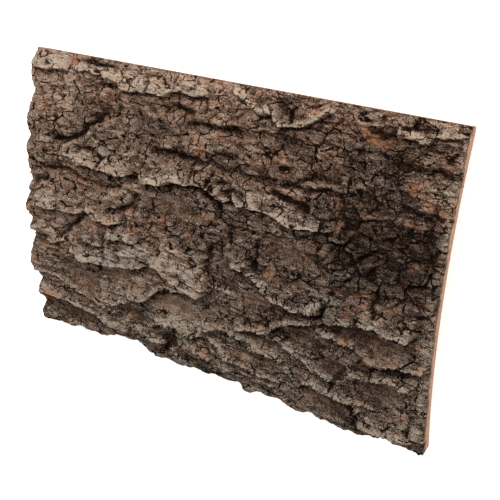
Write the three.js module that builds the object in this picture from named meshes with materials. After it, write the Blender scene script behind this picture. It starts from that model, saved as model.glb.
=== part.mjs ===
// Cork bark slab: a rectangle sawn from the outer bark of a cork oak, one piece of bark and nothing else.
// It lies on its hollow back with the bark face up. X runs along the grain, Y across it, Z up.
// Millimetres, with the origin under the middle of the slab on the surface that it lies on.

import * as THREE from 'three';

const { smoothstep, lerp, clamp } = THREE.MathUtils;

// Driving dimensions
const LENGTH = 455; // along the grain, between the two sawn ends
const PLUS_X_END = 225; // where the +X end lies on the bark map that plates and furrows are placed on
const WIDTH = 300; // across the grain, between the two lower arrises
const BOW = 20; // height of the hollow back over those arrises, at mid width
const LAND_TRIM = 1.2; // taken off the lower arrises, which leaves two narrow flat lands to rest on
const SHEET = 13; // thickness of the cork under its plates, at mid length
const SHEET_TAPER = 1.5; // thicker than that at the -X end, and thinner at the +X end
const LEAST_CORK = 5; // cork left under the deepest furrow
const RELIEF = 1.25; // how boldly plates stand out and hollows sink in, against the heights listed below

// Relief that is not placed by hand
const SWELL = { height: 1.5, alongGrain: 48, acrossGrain: 24, seed: 3 };
const LUMPS = { height: 1.4, alongGrain: 21, acrossGrain: 11, seed: 8 };
const CRUST = { height: 0.7, alongGrain: 12, acrossGrain: 7, seed: 21 };
const LIP_FALL = 4; // distance across the grain in which a plate's lip falls away
const PLATE_FADE = 9; // distance along the grain in which a plate's ends fade out
const PLATE_RUN_OUT = 1.4; // where a plate has sloped away to nothing, as a share of its run
const THIN_FALL = 2; // power by which a thin crest falls away faster behind its lip

// Thin layers that overlap down the slab: each thickens towards a ragged lip and drops off it
const LAYER_RISE = 3;
const LAYER_SPACING = 19; // from lip to lip across the grain
const LAYER_LIP = 0.2; // share of the spacing in which a lip falls away
const LAYER_LEVEL = 0.35; // share of the rise that counts as level with the sheet
const LAYER_UNDER_PLATE = 0.35; // share of it that is lost on a plate
const LAYER_WAVE = { height: 8, alongGrain: 60, acrossGrain: 40, seed: 301, octaves: 3 };
const LAYER_EXTENT = { alongGrain: 48, acrossGrain: 7, seed: 331 };
const LAYER_SHOWS = [-0.35, 0.45]; // extent at which a lip starts to show, and at which it is whole

// Faces along and across the bark, and across the hollow back
const STATIONS = 58;
const BARK_STEPS = 72;
const BACK_STEPS = 14;

const CORK_COLOUR = 0x6b5647;
const CORK_ROUGHNESS = 0.95;

const MINUS_X_END = PLUS_X_END - LENGTH;
const MID_LENGTH = PLUS_X_END - LENGTH / 2;

// The slab is a piece of a trunk's wall: its back lies on a circle of this radius
const TRUNK_RADIUS = (WIDTH * WIDTH / 4 + BOW * BOW) / (2 * BOW);
const HALF_ARC = TRUNK_RADIUS * Math.asin(WIDTH / 2 / TRUNK_RADIUS);
const LAND_ARC = TRUNK_RADIUS * Math.acos((TRUNK_RADIUS - BOW + LAND_TRIM) / TRUNK_RADIUS);

// Bark plates. Each stands proud by its rise above a lip line, and slopes back up the slab from it.
// A thin one is the crest of a layer, which falls away quickly behind its lip.
// Lines are given as [x along the grain, v across the grain along the curve], and x always increases.
const PLATES = [
  { rise: 4, run: 22, lip: [[-225, 132], [-190, 133]] },
  { rise: 3.2, run: 13, lip: [[-170, 137], [-135, 135], [-115, 127], [-70, 127], [-45, 133], [-22, 133]] },
  { rise: 4, run: 9, lip: [[12, 143], [22, 139], [30, 132], [38, 129], [50, 131], [62, 124], [68, 126]] },
  { rise: 4, run: 8, lip: [[72, 127], [85, 129], [93, 133], [102, 141]] },
  { rise: 3, run: 16, lip: [[170, 133], [195, 133], [205, 138], [222, 140]] },
  { rise: 4.5, run: 17, lip: [[-185, 55], [-172, 52], [-135, 49], [-110, 47], [-100, 49]] },
  { rise: 5, run: 16, lip: [[-82, 44], [-70, 46], [-58, 50], [-45, 54], [-20, 56]] },
  { rise: 5, run: 15, lip: [[-20, 58], [0, 58], [10, 56]] },
  { rise: 4.5, run: 21, lip: [[12, 51], [35, 49], [60, 48], [85, 46], [118, 47]] },
  { rise: 3, run: 9, lip: [[-217, 60], [-207, 60]] },
  { rise: 4.5, run: 22, lip: [[-215, -2], [-195, -4], [-180, -5], [-163, -3]] },
  { rise: 5, run: 18, lip: [[-150, 0], [-135, -3], [-122, -4], [-113, -2]] },
  { rise: 3.5, run: 30, lip: [[-225, -44], [-205, -45], [-192, -40]] },
  { rise: 6, run: 28, lip: [[-172, -47], [-150, -48], [-115, -45], [-95, -42], [-75, -38], [-56, -33]] },
  { rise: 4, run: 10, lip: [[-118, -18], [-100, -18], [-80, -19], [-72, -22]] },
  { rise: 7.5, run: 30, lip: [[-52, -32], [-44, -38], [-34, -42], [-24, -44], [-8, -46]] },
  { rise: 5, run: 10, thin: true, lip: [[30, -8], [42, -12], [56, -18], [70, -26]] },
  { rise: 4.5, run: 11, lip: [[71, -28], [84, -30], [90, -32], [94, -36], [104, -34], [117, -32]] },
  { rise: 6.5, run: 15, lip: [[130, -30], [140, -31], [160, -27], [170, -25], [185, -26], [205, -27]] },
  { rise: 4, run: 8, thin: true,
    lip: [[76, -56], [82, -52], [90, -49], [102, -46], [112, -43], [121, -39]] },
  { rise: 5, run: 10, thin: true, lip: [[34, -71], [45, -68], [58, -66], [68, -64], [72, -62], [78, -55]] },
  { rise: 5, run: 8, thin: true,
    lip: [[6, -79], [18, -78], [32, -78], [40, -79], [48, -84], [57, -89], [80, -92]] },
  { rise: 4.5, run: 7, thin: true,
    lip: [[70, -68], [79, -70], [87, -77], [98, -80], [124, -88], [134, -92]] },
  { rise: 4.5, run: 11, thin: true,
    lip: [[122, -47], [126, -50], [136, -48], [156, -51], [165, -57], [172, -60]] },
  { rise: 4.5, run: 11, thin: true, lip: [[172, -60], [184, -60], [196, -57], [202, -58], [218, -55]] },
  { rise: 4, run: 7, thin: true,
    lip: [[156, -82], [166, -81], [176, -78], [187, -74], [194, -74], [208, -79]] },
  { rise: 4, run: 7, thin: true,
    lip: [[138, -94], [144, -102], [152, -106], [162, -108], [170, -108], [179, -114]] },
  { rise: 5, run: 8, thin: true,
    lip: [[102, -113], [106, -107], [116, -104], [132, -108], [156, -110], [160, -118]] },
  { rise: 3, run: 6, thin: true, lip: [[88, -102], [98, -116], [108, -138]] },
  { rise: 4.5, run: 22, lip: [[165, -133], [185, -133], [225, -130]] },
  { rise: 5, run: 9, thin: true,
    lip: [[-77, -75], [-69, -68], [-60, -60], [-52, -56], [-30, -50], [-14, -50]] },
  { rise: 5, run: 9, thin: true,
    lip: [[-64, -97], [-46, -94], [-32, -98], [-21, -101], [-9, -90], [4, -84]] },
  { rise: 3.5, run: 7, thin: true, lip: [[-43, -109], [-28, -114], [-16, -118], [-4, -123]] },
  { rise: 3.5, run: 7, thin: true, lip: [[-12, -96], [-2, -99], [7, -104], [15, -112], [30, -116]] },
  { rise: 3.5, run: 7, thin: true, lip: [[35, -116], [44, -118], [54, -120], [64, -120], [78, -118]] },
  { rise: 3, run: 7, thin: true, lip: [[-60, -130], [-50, -137], [-38, -143], [-29, -142]] },
  { rise: 5, run: 22, lip: [[-135, -92], [-124, -95], [-117, -92], [-110, -86], [-99, -82], [-82, -76]] },
  { rise: 3, run: 8, thin: true, lip: [[-224, -78], [-209, -84], [-180, -94], [-166, -98], [-124, -104]] },
  { rise: 4.5, run: 13,
    lip: [[-225, -104], [-211, -108], [-170, -112], [-156, -114], [-142, -120], [-115, -126]] },
  { rise: 4, run: 9, thin: true, lip: [[-112, -112], [-100, -115], [-87, -120], [-76, -126], [-64, -128]] },
];

// Scooped hollows, where bark has come away: [x, v, reach along the grain, reach across it, depth]
const HOLLOWS = [
  [-44, -76, 40, 18, 5.5],
  [-102, -68, 38, 22, 2.5],
  [-170, -80, 38, 24, 5],
  [56, -79, 28, 11, 4.5],
  [98, -62, 26, 12, 4.5],
  [183, -92, 32, 14, 4],
  [122, -130, 38, 20, 5],
  [133, -84, 20, 15, 3.5],
  [172, -44, 54, 12, 4],
  [-40, 28, 38, 18, 3],
  [85, 15, 42, 16, 2.5],
  [48, -40, 30, 13, 3.5],
  [-142, -12, 28, 9, 4],
  [180, 38, 76, 46, 4],
  [-98, -105, 30, 14, 5],
  [-190, -134, 42, 16, 4],
  [-60, -124, 18, 16, 4.5],
  [22, -30, 16, 10, 3.5],
  [60, 142, 12, 8, 3],
  [10, -8, 18, 28, 3],
  [40, -106, 42, 11, 3],
  [163, -122, 12, 10, 3.5],
  [-110, 100, 90, 26, 2],
  [80, 102, 90, 26, 2],
];

// Furrows that run between the plates, each as half width, depth and path
const FURROWS = [
  { halfWidth: 5.5, depth: 5.5, path: [[-138, 99], [-150, 92], [-172, 72], [-182, 68], [-200, 67]] },
  { halfWidth: 4, depth: 4, path: [[-75, 77], [0, 79], [60, 77]] },
  { halfWidth: 4, depth: 3.5, path: [[75, 78], [95, 86], [122, 88]] },
  { halfWidth: 4, depth: 4, path: [[-225, 38], [-210, 33], [-180, 37], [-165, 33], [-110, 31]] },
  { halfWidth: 4.5, depth: 5, path: [[-25, 57], [-8, 50], [3, 43], [8, 40]] },
  { halfWidth: 4.5, depth: 5.5, path: [[-165, -13], [-178, -22], [-194, -38]] },
  { halfWidth: 4.5, depth: 4.5, path: [[-92, 27], [-104, 17], [-112, 8], [-125, 2]] },
  { halfWidth: 4, depth: 4, path: [[0, 2], [-5, -18], [-10, -33]] },
  { halfWidth: 4.5, depth: 5, path: [[17, 57], [33, 54]] },
  { halfWidth: 5.5, depth: 5, path: [[-48, -112], [-58, -125], [-68, -137]] },
  { halfWidth: 4, depth: 4, path: [[172, 110], [225, 109]] },
  { halfWidth: 4, depth: 4, path: [[180, 76], [208, 76]] },
  { halfWidth: 4.5, depth: 5, path: [[118, -33], [130, -34]] },
  { halfWidth: 5, depth: 4.5, path: [[-100, 46], [-80, 42]] },
  { halfWidth: 6, depth: 4, path: [[-225, 20], [-212, 22]] },
  { halfWidth: 5, depth: 5, path: [[-225, -41], [-214, -42]] },
  { halfWidth: 5, depth: 4, path: [[-225, -119], [-215, -117]] },
];

// Thick lumps of bark along the -X end: [x, v, reach along the grain, reach across it, rise]
const SWELLS = [
  [-230, 130, 50, 28, 7.5],
  [-230, 82, 55, 28, 7.5],
  [-230, 46, 40, 20, 8.5],
  [-230, -8, 55, 24, 9.5],
  [-230, -34, 40, 10, 7.5],
  [-230, -70, 50, 30, 11],
  [-230, -112, 40, 18, 11],
  [-230, -137, 40, 15, 9],
];

// The -Y long edge is broken rather than sawn: [x, how far it lies inside the full width]
const BROKEN_EDGE = [
  [-230, 1],
  [-195, 2],
  [-185, 6],
  [-170, 5],
  [-155, 3],
  [-140, 6],
  [-128, 12],
  [-100, 13],
  [-88, 3],
  [-78, 0],
  [-45, 1],
  [-15, 4],
  [-3, 8.5],
  [10, 5],
  [24, 7.5],
  [42, 3],
  [52, 6],
  [72, 7.5],
  [93, 0],
  [106, 3],
  [120, 0],
  [160, 0],
  [175, 3],
  [183, 8],
  [192, 8],
  [205, 3],
  [213, 5],
  [219, 2],
  [225, 8],
];

// Repeatable value between -1 and 1 for one corner of a noise cell.
function cornerValue(column, row, seed) {
  let bits = Math.imul(column, 374761393) + Math.imul(row, 668265263) + Math.imul(seed, 974711);
  bits = Math.imul(bits ^ (bits >>> 13), 1274126177);
  return ((bits ^ (bits >>> 16)) >>> 0) / 2147483648 - 1;
}

// Smooth noise over the bark: corner values eased between the cell's four corners.
function barkNoise(x, v, { alongGrain, acrossGrain, seed }) {
  const column = Math.floor(x / alongGrain);
  const row = Math.floor(v / acrossGrain);
  const easeX = smoothstep(x / alongGrain - column, 0, 1);
  const easeV = smoothstep(v / acrossGrain - row, 0, 1);
  const near = lerp(cornerValue(column, row, seed), cornerValue(column + 1, row, seed), easeX);
  const far = lerp(cornerValue(column, row + 1, seed), cornerValue(column + 1, row + 1, seed), easeX);
  return lerp(near, far, easeV);
}

// Noise with finer and lower layers of itself on top.
function roughNoise(x, v, { alongGrain, acrossGrain, seed, octaves }) {
  let total = 0;
  for (let octave = 0; octave < octaves; octave += 1) {
    const finer = 2 ** octave;
    const layer = { alongGrain: alongGrain / finer, acrossGrain: acrossGrain / finer, seed: seed + octave };
    total += barkNoise(x, v, layer) / finer;
  }
  return total;
}

// Height of the overlapping layers: saw teeth across the grain, each row coming and going along the grain.
function layerHeight(x, v) {
  const phase = (v + LAYER_WAVE.height * roughNoise(x, v, LAYER_WAVE)) / LAYER_SPACING;
  const row = Math.floor(phase);
  const part = phase - row;
  const extent = barkNoise(x, row * LAYER_EXTENT.acrossGrain, LAYER_EXTENT);
  const tooth = (1 - part) * smoothstep(part, 0, LAYER_LIP) * smoothstep(extent, ...LAYER_SHOWS);
  return LAYER_RISE * (tooth - LAYER_LEVEL);
}

// Height of a line at x, straight between its points and level past its ends.
function lineAt(line, x) {
  const next = line.findIndex(([px]) => px >= x);
  if (next === 0) return line[0][1];
  if (next < 0) return line[line.length - 1][1];
  const [x0, v0] = line[next - 1];
  const [x1, v1] = line[next];
  return lerp(v0, v1, (x - x0) / (x1 - x0));
}

// Share of its rise that a plate has at a point: a short fall under the lip, a long slope behind it.
function plateShare({ run, lip, thin }, x, v) {
  const above = v - lineAt(lip, x);
  const pastEnd = Math.max(lip[0][0] - x, x - lip[lip.length - 1][0], 0);
  const front = smoothstep(above, -LIP_FALL, 0);
  const slope = 1 - clamp(above / (run * PLATE_RUN_OUT), 0, 1);
  const back = thin ? slope ** THIN_FALL : slope;
  return front * back * (1 - smoothstep(pastEnd, 0, PLATE_FADE));
}

// Bowl or lump: most in the middle, and level at its rim.
function bowl([centreX, centreV, reachX, reachV, most], x, v) {
  const rim = Math.hypot((x - centreX) / reachX, (v - centreV) / reachV);
  return most * (1 - smoothstep(rim, 0, 1));
}

// Distance from a point to a path of straight stretches.
function distanceToPath(path, x, v) {
  let nearest = Infinity;
  for (let i = 1; i < path.length; i += 1) {
    const [x0, v0] = path[i - 1];
    const [dx, dv] = [path[i][0] - x0, path[i][1] - v0];
    const along = clamp(((x - x0) * dx + (v - v0) * dv) / (dx * dx + dv * dv), 0, 1);
    nearest = Math.min(nearest, Math.hypot(x - x0 - along * dx, v - v0 - along * dv));
  }
  return nearest;
}

// Thickness of the bark at a point: sheet, lumps and plates, less what is scooped or furrowed out of them.
function barkThickness(x, v) {
  let rise = 0;
  let covered = 0;
  for (const plate of PLATES) {
    const share = plateShare(plate, x, v);
    rise = Math.max(rise, share * plate.rise);
    covered = Math.max(covered, share);
  }
  let cut = 0;
  for (const hollow of HOLLOWS) cut = Math.max(cut, bowl(hollow, x, v));
  let furrow = 0;
  for (const { halfWidth, depth, path } of FURROWS) {
    const across = distanceToPath(path, x, v) / halfWidth;
    furrow = Math.max(furrow, depth * Math.exp(-across * across));
  }
  const swell = Math.max(...SWELLS.map((lump) => bowl(lump, x, v)));
  const sheet = SHEET + swell - SHEET_TAPER * (x - MID_LENGTH) / (LENGTH / 2);
  const placed = RELIEF * (rise - cut * (1 - covered) - furrow);
  const layers = layerHeight(x, v) * (1 - LAYER_UNDER_PLATE * covered);
  const noises = [SWELL, LUMPS, CRUST].map((noise) => noise.height * barkNoise(x, v, noise));
  const uneven = noises.reduce((sum, height) => sum + height, 0);
  return Math.max(LEAST_CORK, sheet + placed + layers + uneven);
}

// Where the -Y long edge lies, as a distance across the grain along the curve.
function lowerEdge(x) {
  return lineAt(BROKEN_EDGE, x) - HALF_ARC;
}

// Point at a distance across the grain and a thickness out from the trunk's circle.
function pointOnCurve(x, v, thickness) {
  const angle = v / TRUNK_RADIUS;
  const radius = TRUNK_RADIUS + thickness;
  const height = radius * Math.cos(angle) - TRUNK_RADIUS + BOW - LAND_TRIM;
  return new THREE.Vector3(x, radius * Math.sin(angle), Math.max(height, 0));
}

// Bark face across one station, from the +Y edge to the -Y edge.
function barkLine(x) {
  const line = [];
  for (let step = 0; step <= BARK_STEPS; step += 1) {
    const v = lerp(HALF_ARC, lowerEdge(x), step / BARK_STEPS);
    line.push(pointOnCurve(x, v, barkThickness(x, v)));
  }
  return line;
}

// Hollow back across one station, in the same order, with a flat land inside each edge.
function backLine(x) {
  const edge = lowerEdge(x);
  const innerEdge = Math.max(-LAND_ARC, edge + LAND_TRIM);
  const line = [pointOnCurve(x, HALF_ARC, 0)];
  for (let step = 1; step < BACK_STEPS; step += 1) {
    line.push(pointOnCurve(x, lerp(LAND_ARC, innerEdge, (step - 1) / (BACK_STEPS - 2)), 0));
  }
  line.push(pointOnCurve(x, edge, 0));
  return line;
}

// Triangles between two lines of points, stepping along whichever line lags behind.
function stitch(first, second) {
  const triangles = [];
  let i = 0;
  let j = 0;
  while (i < first.length - 1 || j < second.length - 1) {
    if ((i + 1) / (first.length - 1) <= (j + 1) / (second.length - 1)) {
      triangles.push(first[i], second[j], first[i + 1]);
      i += 1;
    } else {
      triangles.push(first[i], second[j], second[j + 1]);
      j += 1;
    }
  }
  return triangles;
}

// The slab: a ring of bark and back at each station, joined along the grain, with a sawn face at each end.
function slabGeometry() {
  const rings = [];
  const triangles = [];
  for (let station = 0; station <= STATIONS; station += 1) {
    const x = lerp(MINUS_X_END, PLUS_X_END, station / STATIONS);
    const bark = barkLine(x);
    const back = backLine(x);
    rings.push([...bark, ...back.toReversed(), bark[0]]);
    if (station === 0) triangles.push(...stitch(bark, back));
    if (station === STATIONS) triangles.push(...stitch(back, bark));
  }
  for (let station = 1; station <= STATIONS; station += 1) {
    triangles.push(...stitch(rings[station], rings[station - 1]));
  }
  const geometry = new THREE.BufferGeometry().setFromPoints(triangles);
  geometry.computeBoundingBox();
  const centre = geometry.boundingBox.getCenter(new THREE.Vector3());
  geometry.translate(-centre.x, -centre.y, 0);
  geometry.computeVertexNormals();
  return geometry;
}

const cork = new THREE.MeshStandardMaterial({ color: CORK_COLOUR, roughness: CORK_ROUGHNESS });
const slab = new THREE.Mesh(slabGeometry(), cork);
slab.name = 'cork_slab';

const group = new THREE.Group();
group.add(slab);

export default group;
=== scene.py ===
"""Cork bark slab: a bowed rectangle sawn from the outer bark of a cork oak.

The slab lies on its hollow back with the bark face up. Its bark is a thickness map over a bowed sheet.
Plates, hollows, furrows and cracks are listed one by one, and the crust between them comes from seeded noise.
Bark features are given in millimetres on the bark map: x along the grain, and v across it along the curve.
"""
import logging
from collections.abc import Iterable
from dataclasses import dataclass, field
from enum import IntEnum
from functools import reduce
from math import asin, cos, radians, sin, tau
from typing import Any, NamedTuple

import bpy
import numpy as np
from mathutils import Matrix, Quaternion, Vector


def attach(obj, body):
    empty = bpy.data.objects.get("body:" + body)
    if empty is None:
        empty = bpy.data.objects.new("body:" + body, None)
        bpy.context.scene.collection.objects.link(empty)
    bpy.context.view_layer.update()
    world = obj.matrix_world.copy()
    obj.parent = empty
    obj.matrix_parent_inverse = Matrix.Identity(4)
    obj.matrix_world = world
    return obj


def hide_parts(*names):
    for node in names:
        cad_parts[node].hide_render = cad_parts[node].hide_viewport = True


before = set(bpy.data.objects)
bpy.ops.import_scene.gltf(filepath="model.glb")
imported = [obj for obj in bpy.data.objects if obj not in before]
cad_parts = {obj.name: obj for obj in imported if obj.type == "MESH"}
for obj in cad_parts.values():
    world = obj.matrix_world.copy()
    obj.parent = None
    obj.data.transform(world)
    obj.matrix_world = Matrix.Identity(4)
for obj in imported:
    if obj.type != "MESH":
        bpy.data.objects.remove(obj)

Array = np.ndarray
Tree = bpy.types.NodeTree
Point = tuple[float, float]
Path = tuple[Point, ...]
Span = tuple[float, float]
Axes = tuple[float, float, float]
Weights = dict[str, float]

log = logging.getLogger("cork_slab")

METRES_PER_MM = 0.001

# An sRGB value is a straight line up to the knee, and a power curve past it
SRGB_KNEE = 0.04045
SRGB_SLOPE = 12.92
SRGB_LIFT = 0.055
SRGB_POWER = 2.4
FULL_CHANNEL = 255

# Whole-number hash behind the repeatable noise
HASH_WRAP = np.uint64(0xFFFFFFFF)
HASH_COLUMN = np.uint64(374761393)
HASH_ROW = np.uint64(668265263)
HASH_SEED = 974711
HASH_MIX = np.uint64(1274126177)
HASH_FIRST_SHIFT = np.uint64(13)
HASH_LAST_SHIFT = np.uint64(16)
HASH_HALF = 2147483648.0

# Settings and sockets that many shader nodes share
TIMES = {"operation": "MULTIPLY"}
TIMES_PLUS = {"operation": "MULTIPLY_ADD"}
MINUS = {"operation": "SUBTRACT"}
COLOUR_MIX = {"data_type": "RGBA"}
TINT_MIX = {"data_type": "RGBA", "blend_type": "MULTIPLY"}
MIX_SHARE, MIX_FROM, MIX_TO, MIX_RESULT = 0, 6, 7, 2


class Surface(IntEnum):
    """The slab's three kinds of surface, in the order of its material slots."""

    BARK = 0
    SAWN = 1
    BELLY = 2


def linear_colour(hex_code: str, alpha: float = 1.0) -> tuple[float, float, float, float]:
    """Turn an sRGB hex colour to linear light.

    Args:
        hex_code: Six hex digits, with or without a leading hash.
        alpha: Opacity to go with it.

    Returns:
        Red, green, blue and alpha.
    """
    channels = np.array(list(bytes.fromhex(hex_code.lstrip("#")))) / FULL_CHANNEL
    curve = ((channels + SRGB_LIFT) / (1 + SRGB_LIFT)) ** SRGB_POWER
    return *np.where(channels <= SRGB_KNEE, channels / SRGB_SLOPE, curve).tolist(), alpha


def per_mm(size_mm: float) -> float:
    """Texture scale that gives a pattern this many millimetres long on Object coordinates."""
    return 1.0 / (size_mm * METRES_PER_MM)


def add_node(tree: Tree, kind: str, settings: dict[str, Any] | None = None,
             inputs: dict[Any, Any] | None = None) -> bpy.types.Node:
    """Add a shader node with its settings, and set or link its inputs.

    Args:
        tree: Node tree to add to.
        kind: Blender's name of the node type, less its first two words.
        settings: Properties of the node.
        inputs: Values or output sockets, by the name or number of the input.

    Returns:
        The new node.
    """
    node = tree.nodes.new("ShaderNode" + kind)
    for name, value in (settings or {}).items():
        setattr(node, name, value)
    for name, value in (inputs or {}).items():
        if isinstance(value, bpy.types.NodeSocket):
            tree.links.new(value, node.inputs[name])
        else:
            node.inputs[name].default_value = value
    return node


def smoothstep(value: Array, low: float | Array, high: float | Array) -> Array:
    """Ease from 0 at low to 1 at high, level outside them."""
    share = np.clip((value - low) / (high - low), 0.0, 1.0)
    return share * share * (3.0 - 2.0 * share)


def corner_values(column: Array, row: Array, seed: int) -> Array:
    """Repeatable values between -1 and 1 for the corners of noise cells: an integer hash of their place.

    Args:
        column: Whole-number place along the grain.
        row: Whole-number place across the grain.
        seed: Picks one of many such fields.

    Returns:
        One value for each place.
    """
    columns, rows = (place.astype(np.int64).astype(np.uint64) & HASH_WRAP for place in (column, row))
    bits = (columns * HASH_COLUMN + rows * HASH_ROW + np.uint64(seed * HASH_SEED)) & HASH_WRAP
    bits = ((bits ^ (bits >> HASH_FIRST_SHIFT)) * HASH_MIX) & HASH_WRAP
    return (bits ^ (bits >> HASH_LAST_SHIFT)).astype(np.float64) / HASH_HALF - 1.0


@dataclass(frozen=True)
class NoiseLayer:
    """Smooth noise with cells of a given size in millimetres."""

    height: float
    along: float
    across: float
    seed: int
    octaves: int = 1

    def at(self, x: Array, v: Array) -> Array:
        """Noise over the bark map: corner values eased between each cell's corners, halved for each octave.

        Args:
            x: Places along the grain.
            v: Places across the grain.

        Returns:
            Heights, within plus or minus the layer's height for one octave.
        """
        total = np.zeros_like(x)
        for octave in range(self.octaves):
            fineness = 2.0 ** octave
            column = x * fineness / self.along
            row = v * fineness / self.across
            column_floor, row_floor = np.floor(column), np.floor(row)
            ease_x = smoothstep(column - column_floor, 0.0, 1.0)
            ease_v = smoothstep(row - row_floor, 0.0, 1.0)
            near, far = (
                corner_values(column_floor, line, self.seed + octave) * (1 - ease_x)
                + corner_values(column_floor + 1, line, self.seed + octave) * ease_x
                for line in (row_floor, row_floor + 1))
            total += (near * (1 - ease_v) + far * ease_v) / fineness
        return self.height * total


@dataclass(frozen=True)
class ScaleLayer:
    """Bark scales: tilted flakes round scattered seeds, a little longer along the grain than across."""

    along: float
    across: float
    seed: int
    tilt: float

    SCATTER = 0.45
    MIDDLE = 0.5
    FAR = 9.0

    def at(self, x: Array, v: Array) -> tuple[Array, Array, Array]:
        """Nearest and second nearest seed among the nine cells round each point.

        Each flake is a plane through its seed that leans a random way, so neighbours meet in small steps.

        Args:
            x: Places along the grain.
            v: Places across the grain.

        Returns:
            Distance to the edge between two flakes, in cells; a value between -1 and 1 for each flake; and
            the height of its leaning plane.
        """
        column, row = x / self.along, v / self.across
        column_floor, row_floor = np.floor(column), np.floor(row)
        nearest, second = np.full_like(x, self.FAR), np.full_like(x, self.FAR)
        value, lean = np.zeros_like(x), np.zeros_like(x)
        for step_x in (-1, 0, 1):
            for step_v in (-1, 0, 1):
                cell_x, cell_v = column_floor + step_x, row_floor + step_v
                shift_x, shift_v, own_value, lean_x, lean_v = (
                    corner_values(cell_x, cell_v, self.seed + field_number) for field_number in range(5))
                away_x = column - (cell_x + self.MIDDLE + self.SCATTER * shift_x)
                away_v = row - (cell_v + self.MIDDLE + self.SCATTER * shift_v)
                distance = np.hypot(away_x, away_v)
                closer = distance < nearest
                second = np.where(closer, nearest, np.minimum(second, distance))
                value = np.where(closer, own_value, value)
                lean = np.where(closer, away_x * lean_x + away_v * lean_v, lean)
                nearest = np.where(closer, distance, nearest)
        return second - nearest, value, self.tilt * lean


@dataclass(frozen=True)
class FlakeLayer:
    """Flakes of one size: how much they differ in tone, and how deep the splits between them are."""

    scales: ScaleLayer
    tint: float
    gap: float


@dataclass(frozen=True)
class TerraceLayer:
    """Layers of bark broken back to different depths: noise cut into level treads with short steep risers."""

    noise: NoiseLayer
    tread: float
    slope: float = 0.25
    riser_start: float = 0.7

    def at(self, x: Array, v: Array) -> Array:
        """Heights over the bark map: the noise's whole steps, each with a riser, and a little of its slope.

        Args:
            x: Places along the grain.
            v: Places across the grain.

        Returns:
            Heights in millimetres.
        """
        rough = self.noise.at(x, v)
        steps = rough / self.tread
        whole = np.floor(steps)
        level = self.tread * (whole + smoothstep(steps - whole, self.riser_start, 1.0))
        return level * (1.0 - self.slope) + rough * self.slope


@dataclass(frozen=True)
class ShingleLayer:
    """Thin layers of bark that overlap down the slab: each thickens towards a ragged lip and drops off it."""

    rise: float
    spacing: float
    wave: NoiseLayer
    extent: NoiseLayer
    lip_share: float
    fanned: bool = False

    SHOWS = (-0.35, 0.45)

    def at(self, x: Array, v: Array) -> tuple[Array, Array]:
        """Saw teeth across the grain, shifted by the wave, each row coming and going along the grain.

        Args:
            x: Places along the grain.
            v: Places across the grain.

        Returns:
            Heights in millimetres, and how near each point is to a lip that shows, from 0 to 1.
        """
        phase = (v + self.wave.at(x, v)) / self.spacing
        row = np.floor(phase)
        part = phase - row
        shows = smoothstep(self.extent.at(x, row * self.extent.across), *self.SHOWS)
        tooth = (1.0 - part) * smoothstep(part, 0.0, self.lip_share) * shows
        return self.rise * tooth, tooth


@dataclass(frozen=True)
class LumpLayer:
    """Bark split into lumps: each bark scale swells to a dome with clefts round it."""

    scales: ScaleLayer
    rise: float
    shoulder: float = 0.5
    level: float = 0.6

    UNEVEN = 0.4

    def at(self, x: Array, v: Array) -> Array:
        """Heights over the bark map: each scale's leaning plane, rounded off towards its edge.

        Args:
            x: Places along the grain.
            v: Places across the grain.

        Returns:
            Heights in millimetres.
        """
        edge, value, lean = self.scales.at(x, v)
        dome = smoothstep(edge, 0.0, self.shoulder) - self.level
        return self.rise * (1.0 + self.UNEVEN * value) * dome + lean


def distance_to_path(path: Path, x: Array, v: Array) -> Array:
    """Distance from each point to the nearest straight stretch of a path.

    Args:
        path: Points of the path.
        x: Places along the grain.
        v: Places across the grain.

    Returns:
        Distances in millimetres.
    """
    nearest = np.full_like(x, np.inf)
    for (x0, v0), (x1, v1) in zip(path, path[1:]):
        dx, dv = x1 - x0, v1 - v0
        share = np.clip(((x - x0) * dx + (v - v0) * dv) / (dx * dx + dv * dv), 0.0, 1.0)
        nearest = np.minimum(nearest, np.hypot(x - x0 - share * dx, v - v0 - share * dv))
    return nearest


def height_on_path(path: Path, x: Array) -> Array:
    """How far across the grain a path lies at each place along it."""
    return np.interp(x, *zip(*path))


def blurred(values: Array, reach: int, passes: int = 3) -> Array:
    """Soften a grid by repeated running means in both directions.

    Args:
        values: Grid of values.
        reach: Cells on each side of the running mean.
        passes: How often it is repeated; three come close to a bell curve.

    Returns:
        A grid of the same shape.
    """
    window = 2 * reach + 1
    result = values
    for _ in range(passes):
        for axis in (0, 1):
            padding = [(0, 0), (0, 0)]
            padding[axis] = (reach + 1, reach)
            sums = np.cumsum(np.pad(result, padding, mode="edge"), axis=axis)
            ahead = np.take(sums, range(window, sums.shape[axis]), axis=axis)
            behind = np.take(sums, range(0, sums.shape[axis] - window), axis=axis)
            result = (ahead - behind) / window
    return result


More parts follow.
